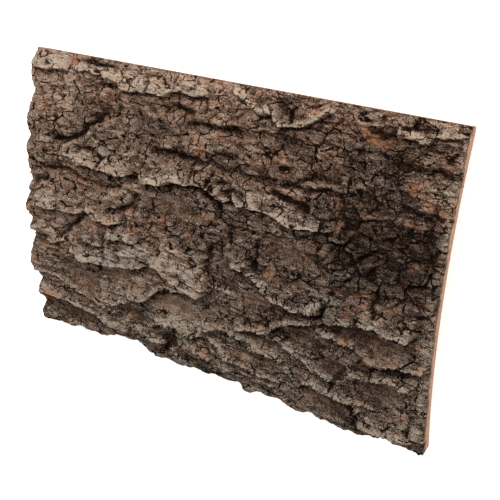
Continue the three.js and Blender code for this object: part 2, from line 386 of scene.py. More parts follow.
@dataclass(frozen=True)
class Plate:
    """A bark plate: it stands proud above a lip line, slopes back up the slab, and may be bleached.

    A crest is the thin edge of a layer. Most of its height falls away close behind its lip.
    """

    rise: float
    run: float
    bleach: float
    lip: Path
    crest: bool = False

    LIP_FALL = 1.3
    END_FADE = 8.0
    RUN_OUT = 1.4
    EDGE_SHARE = 0.55
    EDGE_FADE = 2.2
    CURL = 0.3
    CURL_REACH = 3.5
    PLATE_SHADE = 1.2
    CREST_SHADE = 2.6
    SHADE_FULL = 0.35
    SHADE_END = (-1.5, -0.3)
    BLEACHES = (0.1, 0.6)
    PLATE_WEAR = 0.75
    PLATE_WORN = (0.35, 0.95)
    CREST_WEAR = 0.9
    CREST_WORN = (0.8, 3.8)

    def above_lip(self, x: Array, v: Array) -> Array:
        """How far across the grain each point lies above the lip line."""
        return v - height_on_path(self.lip, x)

    def share(self, x: Array, above: Array) -> Array:
        """Share of the rise at each point: a short fall under the lip, and a long fade behind it.

        Args:
            x: Places along the grain.
            above: Distance of each above the lip line.

        Returns:
            Shares between 0 and 1.
        """
        past_end = np.maximum(np.maximum(self.lip[0][0] - x, x - self.lip[-1][0]), 0.0)
        front = smoothstep(above, -self.LIP_FALL, 0.0)
        back = 1.0 - np.clip(above / (self.run * self.RUN_OUT), 0.0, 1.0)
        if self.crest:
            edge = np.exp(-np.maximum(above, 0.0) / self.EDGE_FADE)
            back = self.EDGE_SHARE * edge + (1.0 - self.EDGE_SHARE) * back ** 2
        return front * back * (1.0 - smoothstep(past_end, 0.0, self.END_FADE))

    def curl(self, above: Array) -> Array:
        """How much higher the plate stands at its turned-up edge: this fades off behind the lip."""
        return 1.0 + self.CURL * np.exp(-np.maximum(above, 0.0) / self.CURL_REACH)

    def under_lip(self, x: Array, above: Array) -> Array:
        """Shade in the angle under the lip: strongest at its foot, and gone past its ends.

        Args:
            x: Places along the grain.
            above: Distance of each above the lip line.

        Returns:
            Shares between 0 and 1.
        """
        inside = smoothstep(np.minimum(x - self.lip[0][0], self.lip[-1][0] - x), 0.0, self.END_FADE)
        reach = (self.CREST_SHADE if self.crest else self.PLATE_SHADE) * self.rise
        foot = smoothstep(above, -reach, -self.SHADE_FULL * reach)
        return inside * foot * (1.0 - smoothstep(above, *self.SHADE_END))

    def bleached(self, share: Array, above: Array) -> Array:
        """Bleaching: full along the lip, and worn off behind it, close by on a crest.

        Args:
            share: Share of the plate's rise at each point.
            above: Distance of each above the lip line.

        Returns:
            Strengths between 0 and 1.
        """
        wear, start, end = self.CREST_WEAR, *self.CREST_WORN
        if not self.crest:
            wear, start, end = self.PLATE_WEAR, *(share_of_run * self.run for share_of_run in self.PLATE_WORN)
        kept = 1.0 - wear * smoothstep(above, start, end)
        return smoothstep(share, *self.BLEACHES) * self.bleach * kept


@dataclass(frozen=True)
class Hollow:
    """A scooped hollow where bark has come away: a bowl that runs out level at its rim."""

    x: float
    v: float
    reach_x: float
    reach_v: float
    depth: float
    bare: float = 1.0

    def share(self, x: Array, v: Array) -> Array:
        """Share of the depth at each point."""
        away = np.hypot((x - self.x) / self.reach_x, (v - self.v) / self.reach_v)
        return 1.0 - smoothstep(away, 0.0, 1.0)


@dataclass(frozen=True)
class Furrow:
    """A furrow or crack along a path, deepest on its line."""

    half_width: float
    depth: float
    path: Path

    SHARPNESS = 1.4

    def share(self, x: Array, v: Array) -> Array:
        """Share of the depth at each point: a narrow bell curve across the path, sharp at the bottom."""
        return np.exp(-(distance_to_path(self.path, x, v) / self.half_width) ** self.SHARPNESS)


@dataclass(frozen=True)
class Stain:
    """A patch of colour along a path, with a soft edge."""

    half_width: float
    strength: float
    path: Path

    EDGE = (0.5, 1.3)

    def share(self, x: Array, v: Array) -> Array:
        """Strength of the patch at each point."""
        away = distance_to_path(self.path, x, v) / self.half_width
        return self.strength * (1.0 - smoothstep(away, *self.EDGE))


def added(layers: Iterable[NoiseLayer | TerraceLayer | LumpLayer], x: Array, v: Array) -> Array:
    """Sum of the heights of some layers."""
    return sum(layer.at(x, v) for layer in layers)


def deepest(marks: Iterable[Hollow | Furrow], x: Array, v: Array) -> Array:
    """Depth of the deepest mark at each point."""
    return reduce(np.maximum, (mark.depth * mark.share(x, v) for mark in marks))


def strongest(stains: Iterable[Stain], x: Array, v: Array) -> Array:
    """Strength of the strongest stain at each point."""
    return reduce(np.maximum, (stain.share(x, v) for stain in stains))


# Bark plates: rise, run, bleaching, lip line, and whether it is a thin crest
PLATES: tuple[Plate, ...] = (
    Plate(4, 22, 0.9, ((-225, 132), (-190, 133))),
    Plate(3.2, 13, 1.0, ((-170, 137), (-135, 135), (-115, 127), (-70, 127), (-45, 133), (-22, 133))),
    Plate(4, 9, 0.9, ((12, 143), (22, 139), (30, 132), (38, 129), (50, 131), (62, 124), (68, 126))),
    Plate(4, 8, 0.9, ((72, 127), (85, 129), (93, 133), (102, 141))),
    Plate(3, 16, 0.45, ((170, 133), (195, 133), (205, 138), (222, 140))),
    Plate(4.5, 17, 0.75, ((-185, 55), (-172, 52), (-135, 49), (-110, 47), (-100, 49))),
    Plate(5, 16, 0.9, ((-82, 44), (-70, 46), (-58, 50), (-45, 54), (-20, 56))),
    Plate(5, 15, 0.45, ((-20, 58), (0, 58), (10, 56))),
    Plate(4.5, 21, 0.7, ((12, 51), (35, 49), (60, 48), (85, 46), (118, 47))),
    Plate(3, 9, 0.7, ((-217, 60), (-207, 60))),
    Plate(4.5, 22, 0.5, ((-215, -2), (-195, -4), (-180, -5), (-163, -3))),
    Plate(5, 18, 0.7, ((-150, 0), (-135, -3), (-122, -4), (-113, -2))),
    Plate(3.5, 30, 0.4, ((-225, -44), (-205, -45), (-192, -40))),
    Plate(6, 28, 0.95, ((-172, -47), (-150, -48), (-115, -45), (-95, -42), (-75, -38), (-56, -33))),
    Plate(4, 10, 0.85, ((-118, -18), (-100, -18), (-80, -19), (-72, -22))),
    Plate(7.5, 30, 0.85, ((-52, -32), (-44, -38), (-34, -42), (-24, -44), (-8, -46))),
    Plate(5, 10, 1.0, ((30, -8), (42, -12), (56, -18), (70, -26)), True),
    Plate(4.5, 11, 0.9, ((71, -28), (84, -30), (90, -32), (94, -36), (104, -34), (117, -32))),
    Plate(6.5, 15, 0.35, ((130, -30), (140, -31), (160, -27), (170, -25), (185, -26), (205, -27))),
    Plate(4, 8, 0.5, ((76, -56), (82, -52), (90, -49), (102, -46), (112, -43), (121, -39)), True),
    Plate(5, 10, 0.6, ((34, -71), (45, -68), (58, -66), (68, -64), (72, -62), (78, -55)), True),
    Plate(5, 8, 0.75, ((6, -79), (18, -78), (32, -78), (40, -79), (48, -84), (57, -89), (80, -92)), True),
    Plate(4.5, 7, 0.65, (
        (70, -68), (79, -70), (87, -77), (98, -80), (108, -82), (124, -88), (134, -92)), True),
    Plate(2.5, 5, 0.6, ((88, -72), (98, -76), (108, -76), (113, -78)), True),
    Plate(4.5, 11, 0.45, (
        (122, -47), (126, -50), (136, -48), (146, -52), (156, -51), (165, -57), (172, -60)), True),
    Plate(4.5, 11, 0.45, ((172, -60), (184, -60), (196, -57), (202, -58), (218, -55)), True),
    Plate(4, 7, 0.4, ((156, -82), (166, -81), (176, -78), (187, -74), (194, -74), (208, -79)), True),
    Plate(4, 7, 0.5, ((138, -94), (144, -102), (152, -106), (162, -108), (170, -108), (179, -114)), True),
    Plate(5, 8, 0.6, (
        (102, -113), (106, -107), (116, -104), (124, -107), (132, -108), (156, -110), (160, -118)), True),
    Plate(3, 6, 0.4, ((88, -102), (98, -116), (108, -138)), True),
    Plate(4.5, 22, 0.35, ((165, -133), (185, -133), (225, -130))),
    Plate(5, 9, 0.65, (
        (-77, -75), (-69, -68), (-60, -60), (-52, -56), (-30, -50), (-22, -49), (-14, -50)), True),
    Plate(5, 9, 0.75, (
        (-64, -97), (-46, -94), (-32, -98), (-21, -101), (-15, -98), (-9, -90), (4, -84)), True),
    Plate(3.5, 7, 0.5, ((-43, -109), (-28, -114), (-16, -118), (-4, -123)), True),
    Plate(3.5, 7, 0.5, ((-12, -96), (-2, -99), (7, -104), (15, -112), (30, -116)), True),
    Plate(3.5, 7, 0.5, ((35, -116), (44, -118), (54, -120), (64, -120), (78, -118)), True),
    Plate(3, 7, 0.4, ((-60, -130), (-50, -137), (-38, -143), (-29, -142)), True),
    Plate(5, 22, 0.3, (
        (-135, -92), (-124, -95), (-117, -92), (-110, -86), (-102, -87), (-99, -82), (-82, -76))),
    Plate(3, 8, 0.3, (
        (-224, -78), (-209, -84), (-194, -90), (-180, -94), (-166, -98), (-138, -102), (-124, -104)), True),
    Plate(4.5, 13, 0.55, (
        (-225, -104), (-211, -108), (-170, -112), (-156, -114), (-142, -120), (-115, -126))),
    Plate(4, 9, 0.6, ((-112, -112), (-100, -115), (-87, -120), (-76, -126), (-64, -128)), True),
)

# Scooped hollows: middle, reach along and across the grain, depth, and how bare the cork is
HOLLOWS: tuple[Hollow, ...] = (
    Hollow(-44, -76, 40, 18, 5.5),
    Hollow(-102, -68, 38, 22, 2.5),
    Hollow(-170, -80, 38, 24, 5),
    Hollow(56, -79, 28, 11, 4.5),
    Hollow(98, -62, 26, 12, 4.5),
    Hollow(183, -92, 32, 14, 4),
    Hollow(122, -130, 38, 20, 5),
    Hollow(133, -84, 20, 15, 3.5),
    Hollow(172, -44, 54, 12, 4),
    Hollow(-40, 28, 38, 18, 3, 0.7),
    Hollow(85, 15, 42, 16, 2.5, 0.6),
    Hollow(48, -40, 30, 13, 3.5),
    Hollow(-142, -12, 28, 9, 4),
    Hollow(180, 38, 76, 46, 4, 0.0),
    Hollow(-98, -105, 30, 14, 5, 0.6),
    Hollow(-190, -134, 42, 16, 4, 0.5),
    Hollow(-60, -124, 18, 16, 4.5, 0.3),
    Hollow(22, -30, 16, 10, 3.5, 0.6),
    Hollow(60, 142, 12, 8, 3, 0.0),
    Hollow(10, -8, 18, 28, 3, 0.2),
    Hollow(40, -106, 42, 11, 3, 0.4),
    Hollow(163, -122, 12, 10, 3.5, 0.3),
    Hollow(-110, 100, 90, 26, 2, 0.0),
    Hollow(80, 102, 90, 26, 2, 0.0),
)

# Furrows between the plates: half width, depth and path
FURROWS: tuple[Furrow, ...] = (
    Furrow(5.5, 5.5, ((-138, 99), (-150, 92), (-172, 72), (-182, 68), (-200, 67))),
    Furrow(4, 4, ((-75, 77), (0, 79), (60, 77))),
    Furrow(4, 3.5, ((75, 78), (95, 86), (122, 88))),
    Furrow(4, 4, ((-225, 38), (-210, 33), (-180, 37), (-165, 33), (-110, 31))),
    Furrow(4.5, 5, ((-25, 57), (-8, 50), (3, 43), (8, 40))),
    Furrow(4.5, 5.5, ((-165, -13), (-178, -22), (-194, -38))),
    Furrow(4.5, 4.5, ((-92, 27), (-104, 17), (-112, 8), (-125, 2))),
    Furrow(4, 4, ((0, 2), (-5, -18), (-10, -33))),
    Furrow(4.5, 5, ((17, 57), (33, 54))),
    Furrow(5.5, 5, ((-48, -112), (-58, -125), (-68, -137))),
    Furrow(4, 4, ((172, 110), (225, 109))),
    Furrow(4, 4, ((180, 76), (208, 76))),
    Furrow(4.5, 5, ((118, -33), (130, -34))),
    Furrow(5, 4.5, ((-100, 46), (-80, 42))),
    Furrow(6, 4, ((-225, 20), (-212, 22))),
    Furrow(5, 5, ((-225, -41), (-214, -42))),
    Furrow(5, 4, ((-225, -119), (-215, -117))),
)

# Cracks, narrower than the furrows
CRACKS: tuple[Furrow, ...] = (
    Furrow(2.5, 3.5, ((-170, 147), (-150, 147), (-130, 145))),
    Furrow(1.8, 3.0, ((-221, 145), (-221, 135))),
    Furrow(1.8, 3.0, ((-212, 146), (-212, 137))),
    Furrow(1.8, 3.0, ((-88, 141), (-87, 128))),
    Furrow(1.8, 2.5, ((-52, 146), (-51, 134))),
    Furrow(2.4, 3.0, ((-60, 117), (-45, 118), (-33, 116))),
    Furrow(2.4, 3.0, ((-35, 109), (0, 109), (18, 111))),
    Furrow(2.4, 3.5, ((8, 64), (20, 63))),
    Furrow(2.4, 5.5, ((64, 66), (82, 62), (100, 58))),
    Furrow(2.0, 3.0, ((-168, 62), (-145, 65), (-130, 60), (-134, 50))),
    Furrow(1.8, 2.5, ((-173, 62), (-173, 55))),
    Furrow(2.0, 3.0, ((0, 72), (-7, 55))),
    Furrow(2.0, 2.5, ((-22, 76), (-22, 62))),
    Furrow(3.0, 5.0, ((145, 136), (153, 132), (165, 131))),
    Furrow(1.8, 4.5, ((184, 150), (184, 141), (198, 143))),
    Furrow(2.0, 3.0, ((208, 86), (209, 75))),
    Furrow(2.0, 3.0, ((145, -82), (142, -88), (134, -98))),
    Furrow(2.0, 3.0, ((170, -2), (169, -12), (172, -19))),
    Furrow(2.0, 2.5, ((48, 12), (48, -10))),
    Furrow(2.0, 2.5, ((209, -110), (209, -126))),
    Furrow(2.4, 3.0, ((-190, -3), (-180, -7), (-165, -9), (-150, -4), (-115, -6))),
    Furrow(2.0, 3.0, ((-75, -112), (-60, -105))),
    Furrow(2.4, 3.0, ((75, 75), (130, 76))),
    Furrow(2.0, 2.5, ((0, 86), (20, 86))),
    Furrow(2.0, 2.5, ((-20, 133), (-20, 122))),
    Furrow(2.0, 2.5, ((70, 135), (70, 125))),
    Furrow(2.4, 3.0, ((-85, -33), (-60, -38))),
    Furrow(2.0, 3.0, ((-160, -30), (-140, -33), (-125, -30))),
    Furrow(2.0, 2.5, ((-128, -22), (-126, -44))),
)

# Bleached patches: half width, strength and path, as in the next four lists
BLEACHED: tuple[Stain, ...] = (
    Stain(7, 0.75, ((-140, 137), (-110, 132), (-60, 132))),
    Stain(4, 0.8, ((40, -13), (58, -20), (68, -26))),
    Stain(5, 0.8, ((-150, 67), (-128, 66))),
    Stain(4, 0.8, ((-103, 27), (-113, 11))),
    Stain(3, 0.7, ((-28, 18), (-15, 18))),
    Stain(4, 0.6, ((212, 62), (220, 62))),
    Stain(5, 0.6, ((180, 136), (195, 135))),
    Stain(4, 0.6, ((88, -73), (112, -75))),
    Stain(6, 0.4, ((175, -115), (220, -118))),
)

# Fresh breaks, where the bark is rust coloured
FRESH: tuple[Stain, ...] = (
    Stain(7, 0.4, ((188, 104), (201, 80))),
    Stain(5, 0.6, ((212, 79), (217, 79))),
    Stain(5, 0.5, ((206, 136), (220, 134))),
    Stain(6, 0.6, ((-9, 112), (3, 101))),
    Stain(6, 0.8, ((-190, 137), (-174, 137))),
    Stain(5, 0.6, ((-180, 147), (-171, 147))),
    Stain(4.5, 1.0, ((148, 140), (140, 135), (145, 127), (155, 124), (162, 127))),
    Stain(4.5, 0.9, ((127, 68), (126, 51))),
    Stain(4, 0.7, ((-17, 131), (-13, 130))),
    Stain(4, 0.4, ((-30, 147), (20, 147))),
    Stain(5, 0.6, ((-20, 92), (-18, 83))),
    Stain(5, 0.6, ((-63, 86), (-53, 88))),
    Stain(5, 0.5, ((28, 100), (33, 100))),
    Stain(5, 0.6, ((-15, 28), (-2, 30))),
    Stain(5, 0.7, ((31, 20), (33, 13))),
    Stain(4, 0.6, ((-53, 9), (-47, 9))),
    Stain(4, 0.6, ((-116, 27), (-108, 27))),
    Stain(4.5, 0.8, ((-124, 0), (-116, 0))),
    Stain(7, 0.9, ((148, -17), (156, -8), (164, -6))),
    Stain(5, 0.6, ((171, -8), (190, -8))),
    Stain(3.5, 0.5, ((145, -53), (165, -57), (195, -57))),
    Stain(5, 0.7, ((218, -55), (224, -56))),
    Stain(5, 0.5, ((-43, -112), (-36, -112))),
    Stain(3.5, 0.5, ((-28, -113), (-6, -121))),
    Stain(5, 0.7, ((182, -114), (202, -112))),
    Stain(4, 0.6, ((220, -108), (224, -108))),
    Stain(4, 0.6, ((-106, -106), (-100, -106))),
    Stain(4, 0.5, ((-225, -107), (-200, -107))),
    Stain(4, 0.6, ((-95, -5), (-80, -6))),
    Stain(4, 0.5, ((-40, -4), (-36, -9))),
    Stain(4, 0.5, ((62, -10), (70, -13))),
    Stain(4, 0.6, ((-165, -13), (-148, -13))),
)

# Dark patches: partly weathered bark, partly painted shade behind and under plates, as under the ledge at v
# -34
SOOT_AND_SHADE: tuple[Stain, ...] = (
    Stain(48, 1.0, ((140, 45), (200, 30))),
    Stain(14, 1.45, ((136, 50), (146, 30), (205, 20))),
    Stain(12, 1.4, ((194, 66), (204, 58))),
    Stain(14, 1.2, ((140, 4), (172, 0))),
    Stain(22, 0.95, ((140, 112), (172, 105), (172, 70))),
    Stain(16, 0.4, ((-165, 95), (-150, 70), (-130, 70))),
    Stain(16, 0.65, ((-85, 95), (-48, 84))),
    Stain(12, 0.6, ((60, 122), (88, 102))),
    Stain(14, 1.1, ((135, -118), (150, -135))),
    Stain(20, 0.3, ((5, -70), (88, -90))),
    Stain(10, 0.5, ((52, 142), (68, 142))),
    Stain(6, 0.7, ((-167, 147), (-130, 146))),
    Stain(15, 1.6, ((124, -34), (152, -34))),
    Stain(14, 0.55, ((-115, -105), (-88, -100))),
    Stain(12, 0.6, ((-65, -133), (-52, -114))),
    Stain(12, 0.6, ((-80, -96), (-76, -120))),
    Stain(12, 0.9, ((-30, -138), (-12, -138))),
    Stain(12, 0.6, ((-222, -118), (-206, -116))),
    Stain(14, 0.5, ((-220, -132), (-155, -128))),
    Stain(12, 0.5, ((5, -25), (30, -30))),
    Stain(9, 0.5, ((157, -122), (168, -114))),
    Stain(9, 0.5, ((186, -67), (200, -66))),
    Stain(10, 0.4, ((-8, 10), (10, -10))),
    Stain(14, 0.8, ((3, 42), (34, 38), (34, 2))),
    Stain(14, 0.4, ((-105, 22), (-75, 20))),
    Stain(38, 0.62, ((-15, 25), (60, 5), (130, -40), (150, -85))),
    Stain(30, 0.4, ((60, -60), (130, -75))),
)

# Patches where the bark is painted lighter
LIGHTER_PATCHES: tuple[Stain, ...] = (
    Stain(14, 1.6, ((-230, 145), (15, 145))),
    Stain(10, 1.2, ((88, 145), (190, 147))),
    Stain(24, 1.4, ((-215, 118), (-190, 115))),
    Stain(10, 0.7, ((-25, 124), (8, 120))),
    Stain(15, 1.4, ((-215, -30), (-185, -25))),
    Stain(16, 0.9, ((-112, -60), (-80, -62))),
    Stain(16, 2.2, ((-45, -80), (-15, -82))),
    Stain(18, 0.4, ((-165, -85), (-110, -90))),
    Stain(10, 0.6, ((-52, -120), (-42, -116))),
    Stain(14, 0.6, ((142, -80), (145, -98))),
    Stain(14, 0.8, ((195, -118), (205, -120))),
    Stain(10, 1.7, ((226, 128), (226, -95))),
    Stain(12, 0.7, ((2, -18), (8, -18))),
    Stain(12, 0.6, ((-54, -18), (-46, -18))),
    Stain(12, 0.6, ((112, -18), (118, -18))),
    Stain(12, 0.6, ((56, 22), (64, 22))),
    Stain(12, 0.8, ((54, -18), (66, -18))),
    Stain(10, 0.9, ((82, 122), (94, 122))),
    Stain(10, 0.7, ((192, -18), (206, -18))),
    Stain(10, 0.7, ((80, -138), (96, -138))),
)

# Patches where the bark is split into blocks
BLOCKY: tuple[Stain, ...] = (
    Stain(40, 1.0, ((150, 36), (212, 24))),
    Stain(60, 0.45, ((-160, 98), (150, 98))),
    Stain(26, 0.4, ((-60, 14), (100, 0))),
    Stain(18, 0.7, ((-205, 100), (-190, 118))),
    Stain(14, 0.6, ((110, -30), (200, -22))),
)

# Lumps along the -X end: middle, reach along and across the grain, and height
SWELLS: tuple[Hollow, ...] = (
    Hollow(-230, 130, 50, 28, 7.5),
    Hollow(-230, 82, 55, 28, 7.5),
    Hollow(-230, 46, 40, 20, 8.5),
    Hollow(-230, -8, 55, 24, 9.5),
    Hollow(-230, -34, 40, 10, 7.5),
    Hollow(-230, -70, 50, 30, 11),
    Hollow(-230, -112, 40, 18, 11),
    Hollow(-230, -137, 40, 15, 9),
)

# The broken long edge: place along the grain, and how far it has broken back
BROKEN_EDGE: Path = (
    (-230, 1), (-195, 2), (-185, 6), (-170, 5), (-155, 3), (-140, 6), (-128, 12), (-100, 13), (-88, 3),
    (-78, 0), (-45, 1), (-15, 4), (-3, 8.5), (10, 5), (24, 7.5), (42, 3), (52, 6), (72, 7.5), (93, 0),
    (106, 3), (120, 0), (160, 0), (175, 3), (183, 8), (192, 8), (205, 3), (213, 5), (219, 2), (225, 8),
)

# How much each mark lightens the bark, from 0, a black crevice, to 1, a bleached plate
TONE_BASE = 0.536
TONE_WEIGHTS: Weights = {
    "pale": 0.3, "crest": 0.17, "under": -0.22, "fresh": 0.1, "lighter_near_lip": 0.06, "tint": 0.07, "patch": 0.05,
    "along": -0.06, "across": 0.02, "lighter_patch": 0.12, "wide_hollow_shade": -0.08, "narrow_hollow_shade": -0.12, "soot_and_shade": -0.22,
    "cleft_shade_and_dirt": -0.45, "bare": 0.02,
}

# How much each mark warms the bark's colour
WARM_BASE = 0.05
WARM_WEIGHTS: Weights = {"across": 0.6, "along": -0.2, "soot_and_shade": -0.7}

# Masks that the slab's points carry for the bark's finish
BARK_MASKS = ("tone", "fresh", "bare", "pale", "blocky", "warm")


def weighed(base: float, weights: Weights, marks: dict[str, Array]) -> Array:
    """A base value, plus each named mark by its weight."""
    return base + sum(weight * marks[name] for name, weight in weights.items())


class PlateCover(NamedTuple):
    """What the plates do at each point: height, cover, bleaching, lips, painted highlights on crests and
    painted shade under lips.
    """

    rise: Array
    covered: Array
    bleached: Array
    lip: Array
    crest: Array
    under: Array


@dataclass
class BarkSample:
    """What the bark is like at each point of a grid: thickness, slide across the grain, and masks by name."""

    thickness: Array
    slide: Array
    masks: dict[str, Array]


@dataclass(frozen=True)
class BarkMap:
    """The relief and colouring of the bark face, as functions of the place on the bark map."""

    sheet: float = 13.0
    sheet_taper: float = 1.5
    least_cork: float = 5.0
    relief: float = 1.4
    half_length: float = 227.5
    half_width: float = 150.0
    mid_length: float = -2.5

    # Towards the lower edge lines wander less and plates are less bleached
    low_reach: float = 60.0
    low_calm: float = 0.6
    low_wear: float = 0.35

    # Lips of plates: how far they lean out and over what rise, and where their edge shows as a crest with a
    # painted highlight
    lip_overhang: float = 1.8
    lip_rise: float = 6.0
    lip_depth: float = 0.5
    crest_highlight_share: Span = (0.3, 0.9)
    crest_highlight_depth: Span = (0.5, 3.0)

    # Bare cork in hollows, and depths at which a crack or a furrow is painted black for its shade and dirt
    bare_edge: Span = (0.1, 0.5)
    crack_black: float = 3.0
    furrow_black: float = 5.0
    furrow_power: int = 3

    # Where the crust is calmer, and how its fine layers fan out from a middle
    bare_calm: float = 0.55
    covered_calm: float = 0.35
    granule_calm: float = 0.5
    fan: float = 0.25
    fan_middle: float = 50.0
    fan_span: Span = (-20.0, 120.0)
    layer_level: float = 0.35

    # Lumps come in above mid width, blocks in blocky patches, and both push the layers back
    lump_share: float = 0.5
    lump_sway: float = 20.0
    lump_span: Span = (-10.0, 50.0)
    lump_block_loss: float = 0.4
    layer_lump_loss: float = 0.5
    layer_block_loss: float = 0.7

    # Splits between flakes, in patches
    split_edge: float = 0.15
    split_mottle: float = 0.6
    split_blocky: float = 0.6
    split_span: Span = (0.1, 0.8)

    # Colouring: painted shade in dips and painted light on rises, as reach in cells and full depth, and how
    # mottling breaks up the stains
    hollow_shades: tuple[tuple[str, int, float], ...] = (("wide_hollow_shade", 6, 4.0), ("narrow_hollow_shade", 2, 1.2))
    dark_off_fresh: float = 0.8
    pale_mottle: float = 0.5
    pale_edge: Span = (0.15, 1.15)
    fresh_mottle: float = 0.6
    rust_start: float = 0.4
    rust_share: float = 0.9

    coarse: tuple[NoiseLayer, ...] = (
        NoiseLayer(1.5, 48, 24, 3), NoiseLayer(1.0, 21, 11, 8), NoiseLayer(0.3, 12, 7, 21),
    )
    wander_x: tuple[NoiseLayer, ...] = (
        NoiseLayer(3.4, 26, 17, 40), NoiseLayer(2.2, 9, 6, 44), NoiseLayer(0.7, 3.6, 2.9, 46),
    )
    wander_v: tuple[NoiseLayer, ...] = (
        NoiseLayer(2.6, 24, 15, 50), NoiseLayer(2.0, 8, 6, 54), NoiseLayer(0.7, 3.4, 2.8, 56),
    )
    flakes: tuple[FlakeLayer, ...] = (
        FlakeLayer(ScaleLayer(34, 13, 61, 1.6), 0.35, 1.2),
        FlakeLayer(ScaleLayer(14, 6.5, 71, 0.8), 0.4, 0.4),
        FlakeLayer(ScaleLayer(6, 3.6, 161, 0.2), 0.25, 0.0),
    )
    terraces: tuple[TerraceLayer, ...] = (TerraceLayer(NoiseLayer(0.8, 46, 15, 201, 4), 0.9),)
    shingles: tuple[ShingleLayer, ...] = (
        ShingleLayer(3.0, 19, NoiseLayer(8, 60, 40, 301, 5), NoiseLayer(1, 48, 7, 331), 0.06),
        ShingleLayer(1.8, 8, NoiseLayer(5, 34, 22, 341, 4), NoiseLayer(1, 26, 7, 371), 0.13, True),
        ShingleLayer(0.9, 4.5, NoiseLayer(4, 22, 14, 381, 3), NoiseLayer(1, 15, 7, 391), 0.2, True),
    )
    lumps: tuple[LumpLayer, ...] = (
        LumpLayer(ScaleLayer(19, 13, 501, 1.2), 2.2), LumpLayer(ScaleLayer(9, 6.5, 521, 0.7), 1.0),
    )
    blocks: LumpLayer = LumpLayer(ScaleLayer(24, 17, 541, 3.0), 3.2, 0.2, 0.7)
    granules: NoiseLayer = NoiseLayer(0.12, 3.4, 2.8, 81, 2)
    patches: NoiseLayer = NoiseLayer(1.0, 34, 22, 91, 2)
    mottle: NoiseLayer = NoiseLayer(1.0, 9, 6, 101, 2)
    lip_height: NoiseLayer = NoiseLayer(0.4, 17, 17, 111)

    def plate_cover(self, x: Array, v: Array, uneven: Array, unworn: Array) -> PlateCover:
        """Lay the plates over the map, each point taking the boldest.

        Args:
            x: Places along the grain.
            v: Places across the grain.
            uneven: Factor on the plates' height.
            unworn: Factor on their bleaching.

        Returns:
            What the plates do at each place.
        """
        cover = PlateCover(*(np.zeros_like(x) for _ in PlateCover._fields))
        for plate in PLATES:
            above = plate.above_lip(x, v)
            share = plate.share(x, above)
            own = PlateCover(
                rise=share * plate.rise * uneven * plate.curl(above),
                covered=share,
                bleached=plate.bleached(share, above) * unworn,
                lip=share * plate.rise * (1.0 - smoothstep(above, 0.0, plate.run * self.lip_depth)),
                crest=smoothstep(share, *self.crest_highlight_share) * (1.0 - smoothstep(above, *self.crest_highlight_depth)),
                under=plate.under_lip(x, above),
            )
            cover = PlateCover(*map(np.maximum, cover, own))
        return cover

    def crust(self, x: Array, v: Array, bent: tuple[Array, Array], marks: dict[str, Array]) -> Array:
        """Heights of the crust: terraces, overlapping layers, lumps and blocks, leaning flakes, and granules.

        Args:
            x: Places along the grain.
            v: Places across the grain.
            bent: The same places, as the lines wander.
            marks: What marks each place; nearness to the layers' lips, where the tone is lighter, and the
                flakes' tint are added to it.

        Returns:
            Heights in millimetres.
        """
        blocky = marks["blocky"]
        rugged = (1.0 - self.bare_calm * marks["bare"]) * (1.0 - self.covered_calm * marks["covered"])
        layers = added(self.terraces, x, v)
        marks["lighter_near_lip"], marks["tint"] = np.zeros_like(x), np.zeros_like(x)
        fanned = v + self.fan * (x - self.fan_middle) * smoothstep(-v, *self.fan_span)
        for shingle in self.shingles:
            height, nearness = shingle.at(x, fanned if shingle.fanned else v)
            layers = layers + height - self.layer_level * shingle.rise
            marks["lighter_near_lip"] = np.maximum(marks["lighter_near_lip"], nearness)
        lumpy = self.lump_share * smoothstep(v + self.lump_sway * marks["patch"], *self.lump_span)
        lumpy = lumpy * (1.0 - self.lump_block_loss * blocky)
        lumps = lumpy * added(self.lumps, *bent) + blocky * self.blocks.at(*bent)
        pushed = 1.0 - np.maximum(self.layer_lump_loss * lumpy, self.layer_block_loss * blocky)
        crust = (1.0 - self.granule_calm * marks["bare"]) * self.granules.at(x, v)
        crust = crust + rugged * (layers * pushed + lumps)
        apart = smoothstep(marks["patch"] + self.split_mottle * marks["mottle"] + self.split_blocky * blocky,
                           *self.split_span)
        for flakes in self.flakes:
            edge, value, lean = flakes.scales.at(*bent)
            split = (1.0 - smoothstep(edge, 0.0, self.split_edge)) * apart
            crust = crust + rugged * (lean - flakes.gap * split)
            marks["tint"] = marks["tint"] + flakes.tint * value
        return crust

